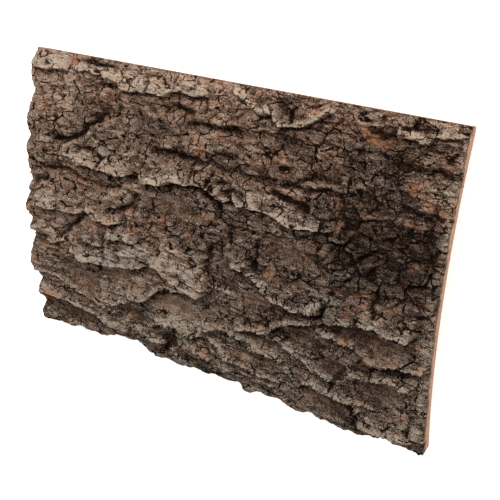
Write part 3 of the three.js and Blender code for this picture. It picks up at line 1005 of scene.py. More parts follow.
    def sample(self, x: Array, v: Array) -> BarkSample:
        """Work out the bark on a grid.

        Thickness is the sheet with the swells at its end, plus the boldest plate, less the deepest hollow not
        under a plate, less furrows and cracks, plus slow noise and the crust. Tone is a weighed sum of what
        marks each place: plates, painted highlights on crests, lighter patches and fresh breaks lighten it,
        and dark patches that are partly soot and partly painted shade, clefts painted dark for their shade
        and dirt, painted shade under lips, and painted shade in dips below the softened bark round it darken
        it, while painted light lifts the bark where it stands above that.

        Args:
            x: Places along the grain, one row of the grid for each.
            v: Places across the grain.

        Returns:
            The bark at each place.
        """
        low = smoothstep(-v, 0.0, self.low_reach)
        calm = 1.0 - self.low_calm * low
        bent = (x + calm * added(self.wander_x, x, v), v + calm * added(self.wander_v, x, v))
        cover = self.plate_cover(*bent, 1.0 + self.lip_height.at(x, v), 1.0 - self.low_wear * low)
        open_bark = 1.0 - cover.covered
        bare = reduce(np.maximum, (hollow.bare * hollow.share(*bent) for hollow in HOLLOWS))
        furrow, crack = deepest(FURROWS, *bent), deepest(CRACKS, *bent)
        blackest = np.maximum(crack / self.crack_black, (furrow / self.furrow_black) ** self.furrow_power)
        mottle = self.mottle.at(x, v)
        fresh = strongest(FRESH, *bent)
        bleached = np.maximum(cover.bleached, strongest(BLEACHED, *bent))
        marks = {
            "along": x / self.half_length,
            "across": v / self.half_width,
            "covered": cover.covered,
            # Crest: a painted highlight along the thin edge of each plate's lip
            "crest": cover.crest,
            "under": cover.under * open_bark,
            "bare": smoothstep(bare, *self.bare_edge) * open_bark,
            # Clefts: cracks and furrows painted darker the deeper they are, for the shade and dirt in them
            "cleft_shade_and_dirt": np.clip(blackest, 0.0, 1.0),
            "patch": self.patches.at(x, v),
            "mottle": mottle,
            "blocky": strongest(BLOCKY, *bent),
            "fresh": fresh,
            # Dark patches, partly soot and partly painted shade, fainter on fresh breaks
            "soot_and_shade": strongest(SOOT_AND_SHADE, *bent) * (1.0 - self.dark_off_fresh * fresh),
            "pale": smoothstep(bleached + self.pale_mottle * mottle, *self.pale_edge),
            "lighter_patch": strongest(LIGHTER_PATCHES, *bent),
        }
        crust = self.crust(x, v, bent, marks)

        taper = self.sheet_taper * (x - self.mid_length) / self.half_length
        sheet = self.sheet + deepest(SWELLS, *bent) - taper
        placed = self.relief * (cover.rise - deepest(HOLLOWS, *bent) * open_bark - furrow) - crack
        thickness = np.maximum(self.least_cork, sheet + placed + added(self.coarse, x, v) + crust)
        # Painted shade where the bark lies below its softened surroundings, painted light where it stands
        # above them
        for name, reach, depth in self.hollow_shades:
            marks[name] = np.clip((blurred(thickness, reach) - thickness) / depth, -1.0, 1.0)

        rust = self.rust_share * np.clip(mottle - self.rust_start, 0.0, 1.0)
        marks["tone"] = np.clip(weighed(TONE_BASE, TONE_WEIGHTS, marks), 0.0, 1.0)
        marks["warm"] = weighed(WARM_BASE, WARM_WEIGHTS, marks)
        marks["fresh"] = np.clip(fresh * (1.0 + self.fresh_mottle * mottle) + rust, 0.0, 1.0)
        return BarkSample(
            thickness=thickness,
            slide=-self.lip_overhang * cover.lip / self.lip_rise,
            masks={name: marks[name] for name in BARK_MASKS},
        )


def new_material(name: str) -> tuple[bpy.types.Material, Tree, bpy.types.Node]:
    """Start a material with its plain shader.

    Args:
        name: Name of the real material.

    Returns:
        The material, its node tree and its shader node.
    """
    material = bpy.data.materials.new(name)
    material.use_nodes = True
    tree = material.node_tree
    return material, tree, tree.nodes["Principled BSDF"]


@dataclass(frozen=True)
class MattSkin:
    """A matt surface: how rough it is, how little it mirrors, and how deep and strong its fine grain is."""

    roughness: float
    specular: float
    bump_mm: float
    bump_strength: float

    def put_on(self, tree: Tree, shader: bpy.types.Node, colour: Any, height: Any) -> None:
        """Give a shader this surface, with a colour and the fine grain's height.

        Args:
            tree: Node tree of the shader.
            shader: The shader node.
            colour: Socket of the colour.
            height: Socket of the height, as a share of the bump's depth.
        """
        bump = add_node(tree, "Bump", {}, {
            "Height": height, "Strength": self.bump_strength, "Distance": self.bump_mm * METRES_PER_MM})
        tree.links.new(colour, shader.inputs["Base Color"])
        tree.links.new(bump.outputs["Normal"], shader.inputs["Normal"])
        shader.inputs["Roughness"].default_value = self.roughness
        shader.inputs["Specular IOR Level"].default_value = self.specular


@dataclass(frozen=True)
class GrainNoise:
    """Fine noise of one size, drawn out along the axes whose scale is under one."""

    size_mm: float
    detail: float
    roughness: float = 0.65
    drawn: Axes | None = None


@dataclass(frozen=True)
class PiecePattern:
    """Pieces of bark with crooked outlines: scattered cells on coordinates that noise has bent.

    They are drawn out along the axes whose scale is under one. Ragged says how finely their outlines are
    broken up, and bend how far noise shifts them, as a share of their size.
    """

    size_mm: float
    drawn: Axes
    ragged: float
    bend: float

    BEND_SIZE = 0.55
    BEND_ROUGHNESS = 0.6
    LEVEL = (0.5, 0.5, 0.5)

    def seeds(self, tree: Tree, place: Any) -> dict[str, Any]:
        """Bend the coordinates by noise and draw them out.

        Args:
            tree: Node tree to add to.
            place: Object coordinates.

        Returns:
            Inputs of the cells: their coordinates and scale.
        """
        crooked = add_node(tree, "TexNoise", {}, {
            "Vector": place, "Scale": per_mm(self.size_mm * self.BEND_SIZE), "Detail": self.ragged,
            "Roughness": self.BEND_ROUGHNESS}).outputs["Color"]
        reach = self.size_mm * self.bend * METRES_PER_MM
        bent = add_node(tree, "VectorMath", TIMES_PLUS, {0: crooked, 1: (reach, reach, reach), 2: place})
        drawn = add_node(tree, "Mapping", {}, {"Vector": bent.outputs[0], "Scale": self.drawn})
        return {"Vector": drawn.outputs[0], "Scale": per_mm(self.size_mm)}

    def edge(self, tree: Tree, place: Any) -> Any:
        """Distance of each point from the edge of its piece, in cells."""
        nearest_edge = {"feature": "DISTANCE_TO_EDGE"}
        return add_node(tree, "TexVoronoi", nearest_edge, self.seeds(tree, place)).outputs["Distance"]

    def planes(self, tree: Tree, place: Any, bump_mm: float) -> tuple[Any, Any, Any]:
        """Make each piece a plane that leans a random way.

        Args:
            tree: Node tree to add to.
            place: Object coordinates.
            bump_mm: Depth of the bump.

        Returns:
            Two numbers between 0 and 1 that are even on each piece, and the height of its leaning plane as a
            share of the bump's depth.
        """
        pieces = add_node(tree, "TexVoronoi", {}, self.seeds(tree, place)).outputs
        values = add_node(tree, "SeparateColor", {}, {0: pieces["Color"]}).outputs
        straight = add_node(tree, "Mapping", {}, {"Vector": place, "Scale": self.drawn}).outputs[0]
        away = add_node(tree, "VectorMath", MINUS, {0: straight, 1: pieces["Position"]}).outputs[0]
        slope = add_node(tree, "VectorMath", MINUS, {0: pieces["Color"], 1: self.LEVEL}).outputs[0]
        rise = add_node(tree, "VectorMath", {"operation": "DOT_PRODUCT"}, {0: away, 1: slope})
        lean = add_node(tree, "Math", TIMES, {0: rise.outputs["Value"], 1: per_mm(bump_mm)}).outputs[0]
        return values[0], values[1], lean


@dataclass(frozen=True)
class CrackPattern:
    """Thin cracks round pieces of one size: shut at one value of a slow pattern, and open at another."""

    pieces: PiecePattern
    width_mm: float
    opener: str
    shut: float
    wide: float

    CORE = 0.45

    def lines(self, tree: Tree, place: Any, layers: dict[str, Any]) -> Any:
        """Lines along the pieces' edges, darkest in their core, where the slow pattern opens them.

        Args:
            tree: Node tree to add to.
            place: Object coordinates.
            layers: Sockets of the patterns by name.

        Returns:
            Socket of a share between 0 and 1.
        """
        width = self.width_mm / self.pieces.size_mm
        line = add_node(tree, "MapRange", {}, {
            "Value": self.pieces.edge(tree, place), "From Min": self.CORE * width, "From Max": width,
            "To Min": 1.0, "To Max": 0.0})
        gate = add_node(tree, "MapRange", {}, {
            "Value": layers[self.opener], "From Min": self.shut, "From Max": self.wide})
        return add_node(tree, "Math", TIMES, {0: line.outputs[0], 1: gate.outputs[0]}).outputs[0]


@dataclass(frozen=True)
class BarkFinish:
    """Outer bark of cork oak, weathered out of doors: matt, crumbly, grey-cream where rain has bleached it.

    The eye sees a brown crust flecked light and dark, pale plates, rust-coloured fresh breaks and near-black
    cracks. Grit is drawn coarser than it is, so that it shows.
    """

    name: str = "weathered_cork_bark"
    tones: tuple[tuple[float, str], ...] = (
        (0.0, "#140a05"), (0.22, "#2f1f17"), (0.45, "#5c4a40"), (0.7, "#836e61"), (1.0, "#b8a596"),
    )
    bare: str = "#6f5444"
    rust: str = "#8a5e44"
    warm_cast: str = "#fee8d9"
    cool_cast: str = "#e8f9fa"
    skin: MattSkin = MattSkin(0.92, 0.05, 1.7, 0.8)
    noises: tuple[tuple[str, GrainNoise], ...] = (
        ("mottle", GrainNoise(8.0, 3.0)),
        ("speck", GrainNoise(1.9, 2.0)),
        ("grit", GrainNoise(0.9, 1.0)),
        ("fleck", GrainNoise(3.2, 2.0)),
        ("strain", GrainNoise(12.0, 1.0)),
        ("streak", GrainNoise(2.4, 3.0, 0.5, (1.0, 0.16, 0.3))),
        ("fibre", GrainNoise(1.8, 2.0, 0.5, (0.14, 1.0, 1.0))),
    )
    pieces: tuple[tuple[str, PiecePattern], ...] = (
        ("block", PiecePattern(14.0, (0.45, 1.0, 0.8), 4.0, 0.85)),
        ("flake", PiecePattern(8.5, (0.45, 1.0, 0.8), 4.0, 0.85)),
        ("chip", PiecePattern(3.0, (0.45, 1.0, 0.8), 3.0, 0.85)),
    )
    cracks: tuple[CrackPattern, ...] = (
        CrackPattern(PiecePattern(14.0, (0.7, 1.0, 0.8), 3.0, 0.4), 0.7, "block_strain", 0.5, 0.58),
        CrackPattern(PiecePattern(8.5, (0.7, 1.0, 0.8), 2.0, 0.4), 0.42, "strain", 0.44, 0.36),
        CrackPattern(PiecePattern(4.8, (0.7, 1.0, 0.8), 2.0, 0.5), 0.32, "mottle", 0.51, 0.61),
    )
    sheets: tuple[tuple[str, float], ...] = (("sheet", 6.0), ("leaf", 2.8))
    sheet_drawn: Axes = (0.4, 1.0, 1.0)
    sheet_sway: float = 5.0
    sway_sheets: float = 2.5
    sway_detail: float = 4.0
    sway_roughness: float = 0.62
    block_opening: float = 0.06
    bare_cracks: float = 0.3
    blocky_calm: float = 0.6
    streak_middle: float = 0.5
    warm_span: Span = (0.8, 3.8)
    light_tones: Span = (0.15, 0.85)
    light_range: Span = (0.35, 1.45)
    rust_span: Span = (0.75, 1.3)
    rust_range: Span = (0.05, 0.95)
    bare_share: float = 0.45

    # Sheet and leaf also paint shade at the foot of each overlapping sheet's lip, fading to lighter bark at
    # the lip
    FINE = {"mottle": 0.1, "block": 0.08, "flake": 0.1, "chip": 0.25, "speck": 0.65, "grit": 2.1,
            "fibre": 0.6, "sheet": -0.12, "leaf": -0.08}
    TONE = {"streaks": 0.7, "unstreaked": -0.7, "cracks": -0.75}
    HUE = {"pale": -0.75, "block_hue": 0.7, "flake_hue": 0.9, "fleck": 3.0}
    HEIGHT = {"speck": 0.3, "block": 0.5, "flake": 0.5, "chip": 0.35, "sheet": -0.5, "leaf": -0.25,
              "block_lean": 1.0, "flake_lean": 1.1, "chip_lean": 0.9, "cracks": -0.4}

    def summed(self, tree: Tree, start: Any, layers: dict[str, Any], weights: dict[str, Any]) -> Any:
        """A start value, plus each named layer by its weight.

        Args:
            tree: Node tree to add to.
            start: Number or socket to start from.
            layers: Sockets of the patterns by name.
            weights: Numbers or sockets by the name of the layer.

        Returns:
            Socket of the sum.
        """
        total = start
        for name, weight in weights.items():
            total = add_node(tree, "Math", TIMES_PLUS, {0: layers[name], 1: weight, 2: total}).outputs[0]
        return total

    def overlapping(self, tree: Tree, place: Any, spacing_mm: float) -> Any:
        """Thin sheets that overlap down the slab: a saw tooth across the grain, shifted by drawn-out noise.

        Args:
            tree: Node tree to add to.
            place: Object coordinates.
            spacing_mm: Width of a sheet across the grain.

        Returns:
            Socket of a number that grows from 0 at each sheet's lip to 1 at the foot of the next one.
        """
        drawn = add_node(tree, "Mapping", {}, {"Vector": place, "Scale": self.sheet_drawn}).outputs[0]
        sway = add_node(tree, "TexNoise", {}, {
            "Vector": drawn, "Scale": per_mm(spacing_mm * self.sway_sheets), "Detail": self.sway_detail,
            "Roughness": self.sway_roughness}).outputs["Fac"]
        across = add_node(tree, "SeparateXYZ", {}, {0: place}).outputs["Y"]
        shifted = add_node(tree, "Math", TIMES, {0: sway, 1: self.sheet_sway}).outputs[0]
        row = add_node(tree, "Math", TIMES_PLUS, {0: across, 1: per_mm(spacing_mm), 2: shifted}).outputs[0]
        return add_node(tree, "Math", {"operation": "FRACT"}, {0: row}).outputs[0]

    def patterns(self, tree: Tree, place: Any) -> dict[str, Any]:
        """Lay out the masks, the noise, the pieces of bark and the overlapping sheets.

        Args:
            tree: Node tree to add to.
            place: Object coordinates.

        Returns:
            Sockets by name.
        """
        layers = {}
        for name in BARK_MASKS:
            layers[name] = add_node(tree, "Attribute", {"attribute_name": name}).outputs["Fac"]
        for name, noise in self.noises:
            vector = place
            if noise.drawn:
                vector = add_node(tree, "Mapping", {}, {"Vector": place, "Scale": noise.drawn}).outputs[0]
            layers[name] = add_node(tree, "TexNoise", {}, {
                "Vector": vector, "Scale": per_mm(noise.size_mm), "Detail": noise.detail,
                "Roughness": noise.roughness}).outputs["Fac"]
        for name, pieces in self.pieces:
            planes = pieces.planes(tree, place, self.skin.bump_mm)
            layers[name], layers[name + "_hue"], layers[name + "_lean"] = planes
        for name, spacing_mm in self.sheets:
            layers[name] = self.overlapping(tree, place, spacing_mm)
        return layers

    def crack_lines(self, tree: Tree, place: Any, layers: dict[str, Any]) -> Any:
        """All cracks together, fainter on bare cork.

        Args:
            tree: Node tree to add to.
            place: Object coordinates.
            layers: Sockets of the patterns by name.

        Returns:
            Socket of a share between 0 and 1.
        """
        blocks = {"blocky": self.block_opening}
        openers = {**layers, "block_strain": self.summed(tree, layers["strain"], layers, blocks)}
        first, *others = (crack.lines(tree, place, openers) for crack in self.cracks)
        for other in others:
            first = add_node(tree, "Math", {"operation": "MAXIMUM"}, {0: first, 1: other}).outputs[0]
        softer = add_node(tree, "MapRange", {}, {
            "Value": layers["bare"], "To Min": 1.0, "To Max": self.bare_cracks}).outputs[0]
        return add_node(tree, "Math", TIMES, {0: first, 1: softer}).outputs[0]

    def toned(self, tree: Tree, layers: dict[str, Any]) -> Any:
        """Tone of the bark: its mask, fine patterns, calmer on blocks, streaks on bare cork, and cracks.

        Args:
            tree: Node tree to add to.
            layers: Sockets of the patterns by name.

        Returns:
            Socket of the tone.
        """
        calm = add_node(tree, "MapRange", {}, {
            "Value": layers["blocky"], "To Min": 1.0, "To Max": self.blocky_calm}).outputs[0]
        middle = -sum(self.FINE.values()) / 2
        streaks = add_node(tree, "Math", TIMES, {0: layers["streak"], 1: layers["bare"]}).outputs[0]
        unstreaked = add_node(tree, "Math", TIMES, {0: layers["bare"], 1: self.streak_middle}).outputs[0]
        shades = {**layers, "fine": self.summed(tree, middle, layers, self.FINE), "streaks": streaks,
                  "unstreaked": unstreaked}
        return self.summed(tree, layers["tone"], shades, {"fine": calm, **self.TONE})

    def coloured(self, tree: Tree, layers: dict[str, Any]) -> Any:
        """Colour of the bark: a ramp of tones with a warm or cool cast, then bare cork and rust over it.

        Args:
            tree: Node tree to add to.
            layers: Sockets of the patterns by name.

        Returns:
            Socket of the colour.
        """
        ramp = add_node(tree, "ValToRGB", {}, {"Fac": layers["tone"]})
        stops = ramp.color_ramp.elements
        for place_on_ramp, hex_code in self.tones[1:-1]:
            stops.new(place_on_ramp).color = linear_colour(hex_code)
        for end in (0, -1):
            stops[end].color = linear_colour(self.tones[end][1])
        warmth = add_node(tree, "MapRange", {}, {
            "Value": self.summed(tree, layers["warm"], layers, self.HUE), "From Min": self.warm_span[0],
            "From Max": self.warm_span[1]}).outputs[0]
        cast = add_node(tree, "Mix", COLOUR_MIX, {
            MIX_SHARE: warmth, MIX_FROM: linear_colour(self.cool_cast),
            MIX_TO: linear_colour(self.warm_cast)}).outputs[MIX_RESULT]
        colour = add_node(tree, "Mix", TINT_MIX, {
            MIX_SHARE: 1.0, MIX_FROM: ramp.outputs["Color"], MIX_TO: cast}).outputs[MIX_RESULT]

        lit = add_node(tree, "MapRange", {}, {
            "Value": layers["tone"], "From Min": self.light_tones[0], "From Max": self.light_tones[1],
            "To Min": self.light_range[0], "To Max": self.light_range[1]}).outputs[0]
        light = add_node(tree, "CombineColor", {}, {0: lit, 1: lit, 2: lit}).outputs[0]
        scrape = add_node(tree, "Math", {"operation": "ADD"}, {0: layers["speck"], 1: layers["flake"]})
        rusted = add_node(tree, "MapRange", {}, {
            "Value": scrape.outputs[0], "From Min": self.rust_span[0], "From Max": self.rust_span[1],
            "To Min": self.rust_range[0], "To Max": self.rust_range[1]}).outputs[0]
        for name, amount, hex_code in (("bare", self.bare_share, self.bare), ("fresh", rusted, self.rust)):
            cover = add_node(tree, "Math", TIMES, {0: layers[name], 1: amount}).outputs[0]
            shaded = add_node(tree, "Mix", TINT_MIX, {
                MIX_SHARE: 1.0, MIX_FROM: linear_colour(hex_code), MIX_TO: light}).outputs[MIX_RESULT]
            colour = add_node(tree, "Mix", COLOUR_MIX, {
                MIX_SHARE: cover, MIX_FROM: colour, MIX_TO: shaded}).outputs[MIX_RESULT]
        return colour

    def make(self) -> bpy.types.Material:
        """Build the material: a ramp of bark tones, warmed by bare cork and rust, and broken by thin cracks.

        Returns:
            The finished material.
        """
        material, tree, shader = new_material(self.name)
        place = add_node(tree, "TexCoord").outputs["Object"]
        layers = self.patterns(tree, place)
        layers["cracks"] = self.crack_lines(tree, place, layers)
        layers["tone"] = self.toned(tree, layers)
        height = self.summed(tree, layers["fleck"], layers, self.HEIGHT)
        self.skin.put_on(tree, shader, self.coloured(tree, layers), height)
        return material


@dataclass(frozen=True)
class SawnFinish:
    """Freshly sawn cork: salmon tan and fine grained, with growth lines along it and dark pores across."""

    name: str = "sawn_cork"
    light: str = "#c0987f"
    deep: str = "#94705a"
    pore: str = "#4a3022"
    rind: str = "#54402f"
    growth_mm: float = 2.4
    growth_contrast: float = 0.18
    wobble_mm: float = 14.0
    wobble_depth: float = 2.5
    grain_mm: float = 1.6
    pore_mm: float = 6.0
    pore_edge: Span = (0.1, 0.25)
    pore_share: float = 0.8
    rind_mm: float = 5.0
    rind_detail: float = 3.0
    rind_edge: Span = (1.05, 1.3)
    rind_share: float = 0.9
    skin: MattSkin = MattSkin(0.9, 0.2, 0.4, 0.4)

    def make(self) -> bpy.types.Material:
        """Build the material: growth lines across the thickness, fine grain, pores, and the dark rind.

        Returns:
            The finished material.
        """
        material, tree, shader = new_material(self.name)
        place = add_node(tree, "TexCoord").outputs["Object"]
        layer, outer = (
            add_node(tree, "Attribute", {"attribute_name": name}).outputs["Fac"]
            for name in ("layer", "rind"))
        wobble, grain = (
            add_node(tree, "TexNoise", {}, {"Vector": place, "Scale": per_mm(size_mm)}).outputs["Fac"]
            for size_mm in (self.wobble_mm, self.grain_mm))
        depth = add_node(tree, "Math", TIMES_PLUS, {0: wobble, 1: self.wobble_depth, 2: layer}).outputs[0]
        turns = add_node(tree, "Math", TIMES, {0: depth, 1: tau / self.growth_mm}).outputs[0]
        wave = add_node(tree, "Math", {"operation": "SINE"}, {0: turns}).outputs[0]
        blend = add_node(tree, "Math", TIMES_PLUS, {0: wave, 1: self.growth_contrast, 2: grain}).outputs[0]
        pores = add_node(tree, "TexVoronoi", {}, {"Vector": place, "Scale": per_mm(self.pore_mm)})
        dark = add_node(tree, "MapRange", {}, {
            "Value": pores.outputs["Distance"], "From Min": self.pore_edge[0], "From Max": self.pore_edge[1],
            "To Min": self.pore_share, "To Max": 0.0}).outputs[0]
        ragged = add_node(tree, "TexNoise", {}, {
            "Vector": place, "Scale": per_mm(self.rind_mm), "Detail": self.rind_detail}).outputs["Fac"]
        reach = add_node(tree, "Math", {"operation": "ADD"}, {0: outer, 1: ragged}).outputs[0]
        barky = add_node(tree, "MapRange", {}, {
            "Value": reach, "From Min": self.rind_edge[0], "From Max": self.rind_edge[1],
            "To Max": self.rind_share}).outputs[0]
        colour: Any = linear_colour(self.deep)
        for share, hex_code in ((blend, self.light), (dark, self.pore), (barky, self.rind)):
            colour = add_node(tree, "Mix", COLOUR_MIX, {
                MIX_SHARE: share, MIX_FROM: colour, MIX_TO: linear_colour(hex_code)}).outputs[MIX_RESULT]
        self.skin.put_on(tree, shader, colour, grain)
        return material


@dataclass(frozen=True)
class BellyFinish:
    """Inner face of cork bark, where it parted from the tree: smooth, ochre brown, streaked along it."""

    name: str = "cork_belly"
    light: str = "#a9825f"
    deep: str = "#6f5039"
    pore: str = "#35221a"
    streak_mm: float = 7.0
    streak_drawn: Axes = (0.2, 1.0, 1.0)
    streak_detail: float = 5.0
    streak_edge: Span = (0.3, 0.7)
    pore_mm: float = 11.0
    pore_drawn: Axes = (0.35, 1.0, 1.0)
    pore_edge: Span = (0.08, 0.2)
    pore_share: float = 0.85
    skin: MattSkin = MattSkin(0.85, 0.2, 0.6, 0.5)

    def make(self) -> bpy.types.Material:
        """Build the material: streaks along the grain, and dark pores drawn out the same way.

        Returns:
            The finished material.
        """
        material, tree, shader = new_material(self.name)
        place = add_node(tree, "TexCoord").outputs["Object"]
        along, drawn = (
            add_node(tree, "Mapping", {}, {"Vector": place, "Scale": axes}).outputs[0]
            for axes in (self.streak_drawn, self.pore_drawn))
        streak = add_node(tree, "TexNoise", {}, {
            "Vector": along, "Scale": per_mm(self.streak_mm), "Detail": self.streak_detail}).outputs["Fac"]
        share = add_node(tree, "MapRange", {}, {
            "Value": streak, "From Min": self.streak_edge[0], "From Max": self.streak_edge[1]}).outputs[0]
        pores = add_node(tree, "TexVoronoi", {}, {"Vector": drawn, "Scale": per_mm(self.pore_mm)})
        dark = add_node(tree, "MapRange", {}, {
            "Value": pores.outputs["Distance"], "From Min": self.pore_edge[0], "From Max": self.pore_edge[1],
            "To Min": self.pore_share, "To Max": 0.0}).outputs[0]
        colour: Any = linear_colour(self.deep)
        for amount, hex_code in ((share, self.light), (dark, self.pore)):
            colour = add_node(tree, "Mix", COLOUR_MIX, {
                MIX_SHARE: amount, MIX_FROM: colour, MIX_TO: linear_colour(hex_code)}).outputs[MIX_RESULT]
        self.skin.put_on(tree, shader, colour, streak)
        return material


@dataclass(frozen=True)
class FloorFinish:
    """Matt white acrylic, lit a little from below: even, with hardly any sheen."""

    name: str = "white_acrylic"
    colour: str = "#f4f3f1"
    roughness: float = 0.95
    specular: float = 0.1
    glow: float = 0.68

    def make(self) -> bpy.types.Material:
        """Build the material, one even colour set on the shader itself.

        Returns:
            The finished material.
        """
        material, _, shader = new_material(self.name)
        shader.inputs["Base Color"].default_value = linear_colour(self.colour)
        shader.inputs["Roughness"].default_value = self.roughness
        shader.inputs["Specular IOR Level"].default_value = self.specular
        shader.inputs["Emission Color"].default_value = linear_colour(self.colour)
        shader.inputs["Emission Strength"].default_value = self.glow
        return material


@dataclass
class CorkSlab:
    """The slab: bark face, sawn edges and hollow back as one closed surface."""

    length: float = 455.0
    plus_x_end: float = 225.0
    width: float = 300.0
    bow: float = 20.0
    land_trim: float = 1.2
    edge_lean: float = 1.2
    lean_share: float = 0.05
    rim_share_x: float = 0.015
    rim_share_v: float = 0.02
    crisp_angle: float = 32.0
    edge_crumble: NoiseLayer = NoiseLayer(1.8, 10, 10, 401, 3)
    stations: int = 304
    steps: int = 280
    wall_rows: int = 5
    back_ratio: int = 4
    bark: BarkMap = field(default_factory=BarkMap)

    @property
    def trunk_radius(self) -> float:
        """Radius of the circle that the back lies on."""
        return (self.width ** 2 / 4 + self.bow ** 2) / (2 * self.bow)

    @property
    def half_arc(self) -> float:
        """Half the slab's width, measured along the curve."""
        return self.trunk_radius * asin(self.width / 2 / self.trunk_radius)

    def lower_edge(self, x: Array) -> Array:
        """Where the broken long edge lies: the half width, less what has broken or crumbled off."""
        crumbled = self.edge_crumble.at(x, np.zeros_like(x))
        return height_on_path(BROKEN_EDGE, x) + crumbled - self.half_arc

    def placed(self, x: Array, v: Array, thickness: Array) -> Array:
        """Points at a distance across the grain and a thickness out from the trunk's circle.

        Args:
            x: Places along the grain.
            v: Places across the grain, along the curve.
            thickness: Distance out from the back.

        Returns:
            Points in millimetres, with the last axis holding x, y and z.
        """
        angle = v / self.trunk_radius
        radius = self.trunk_radius + thickness
        height = radius * np.cos(angle) - self.trunk_radius + self.bow - self.land_trim
        return np.stack([x, radius * np.sin(angle), np.maximum(height, 0.0)], axis=-1)

    def build(self) -> bpy.types.Object:
        """Make the closed mesh.

        The bark is a grid over x and v. Walls are rows of rings from the bark's rim down to the back's rim.
        The back is a coarser grid, and the last row of the wall steps from the fine rim to the coarse one.

        Returns:
            The slab's object, with its masks as point attributes.
        """
        columns, rows = self.stations + 1, self.steps + 1
        share_x, share_v = np.meshgrid(np.linspace(0, 1, columns), np.linspace(0, 1, rows), indexing="ij")
        x = self.plus_x_end + (share_x - 1.0) * self.length
        v = self.half_arc + (self.lower_edge(x) - self.half_arc) * share_v
        sample = self.bark.sample(x, v)
        inside = (smoothstep(np.minimum(share_x, 1 - share_x), 0.0, self.rim_share_x)
                  * smoothstep(np.minimum(share_v, 1 - share_v), 0.0, self.rim_share_v))
        lean = self.edge_lean * (1.0 - smoothstep(share_v, 0.0, self.lean_share))
        bark = self.placed(x, v - lean + sample.slide * inside, sample.thickness).reshape(-1, 3)
        under = self.placed(x, v, np.zeros_like(x))
        back = under[::self.back_ratio, ::self.back_ratio]

        rim = ring_of(columns, rows)
        top, bottom = bark[rim], under.reshape(-1, 3)[rim]
        falls = np.arange(1, self.wall_rows) / self.wall_rows
        points = np.concatenate([bark, *(top + (bottom - top) * fall for fall in falls), back.reshape(-1, 3)])
        ring_starts = len(bark) + len(rim) * np.arange(self.wall_rows)
        rings = [rim, *(start + np.arange(len(rim)) for start in ring_starts[:-1])]
        back_start = ring_starts[-1]
        back_rim = back_start + ring_of(*back.shape[:2])
        walls = np.concatenate([ring_faces(upper, lower) for upper, lower in zip(rings, rings[1:])])
        steps = stepping_faces(rings[-1], back_rim, self.back_ratio)
        faces = {
            Surface.BARK: grid_faces(columns, rows)[:, ::-1].tolist(),
            Surface.SAWN: walls.tolist() + steps.tolist(),
            Surface.BELLY: (back_start + grid_faces(*back.shape[:2])).tolist(),
        }

        mesh = bpy.data.meshes.new("cork_bark_slab")
        middle = (points.min(axis=0) + points.max(axis=0)) / 2
        middle[-1] = 0.0
        all_faces = [face for surface in Surface for face in faces[surface]]
        mesh.from_pydata(((points - middle) * METRES_PER_MM).tolist(), [], all_faces)
        mesh.validate()
        kinds = np.repeat(list(Surface), [len(faces[surface]) for surface in Surface])
        mesh.polygons.foreach_set("material_index", kinds.astype(np.int32))
        mesh.polygons.foreach_set("use_smooth", np.ones(len(kinds), dtype=bool))
        mesh.set_sharp_from_angle(angle=radians(self.crisp_angle))

        for name, values in sample.masks.items():
            set_mask(mesh, name, np.concatenate([values.reshape(-1), np.zeros(len(points) - len(bark))]))
        for name, values in (("layer", sample.thickness.reshape(-1)), ("rind", np.ones(len(bark)))):
            fading = [values[rim] * (1.0 - fall) for fall in falls]
            set_mask(mesh, name, np.concatenate([values, *fading, np.zeros(len(points) - back_start)]))
        slab = bpy.data.objects.new("cork_bark_slab", mesh)
        bpy.context.scene.collection.objects.link(slab)
        return slab

    def dress(self, slab: bpy.types.Object) -> None:
        """Give the slab its three finishes, in the order of its surfaces.

        Args:
            slab: The slab's object.
        """
        finishes = {Surface.BARK: BarkFinish(), Surface.SAWN: SawnFinish(), Surface.BELLY: BellyFinish()}
        for surface in Surface:
            slab.data.materials.append(finishes[surface].make())


def ring_of(columns: int, rows: int) -> Array:
    """Numbers of a grid's rim points, clockwise seen from the bark side, from the first point on."""
    numbers = np.arange(columns * rows).reshape(columns, rows)
    return np.concatenate([numbers[:-1, 0], numbers[-1, :-1], numbers[:0:-1, -1], numbers[0, :0:-1]])


def grid_faces(columns: int, rows: int) -> Array:
    """Four-cornered faces of a grid that look away from the bark side.

    Args:
        columns: Points along the grain.
        rows: Points across the grain.

    Returns:
        Four point numbers for each face.
    """
    numbers = np.arange(columns * rows).reshape(columns, rows)
    corners = [numbers[:-1, :-1], numbers[1:, :-1], numbers[1:, 1:], numbers[:-1, 1:]]
    return np.stack(corners, axis=-1).reshape(-1, 4)


def ring_faces(upper: Array, lower: Array) -> Array:
    """Four-cornered faces between two rings of as many points, looking outwards."""
    return np.stack([upper, np.roll(upper, -1), np.roll(lower, -1), lower], axis=-1)


def stepping_faces(fine: Array, coarse: Array, ratio: int) -> Array:
    """Triangles from a fine ring down to a coarse one that has one point for every few of the fine ring's.

    Args:
        fine: Point numbers of the upper ring.
        coarse: Point numbers of the lower ring.
        ratio: Fine points for each coarse one.

    Returns:
        Triangles that look outwards.
    """
    stretches = np.concatenate([fine, fine[:1]])
    fans = [stretches[i:len(fine) + 1 - ratio + i:ratio] for i in range(ratio + 1)]
    ahead = np.roll(coarse, -1)
    half = ratio // 2
    triangles = [(fans[i], fans[i + 1], coarse if i < half else ahead) for i in range(ratio)]
    triangles.append((fans[half], ahead, coarse))
    return np.concatenate([np.stack(corners, axis=-1) for corners in triangles])


def set_mask(mesh: bpy.types.Mesh, name: str, values: Array) -> None:
    """Store one number for each point of a mesh under a name."""
    mesh.attributes.new(name, "FLOAT", "POINT").data.foreach_set("value", values.astype(np.float32))


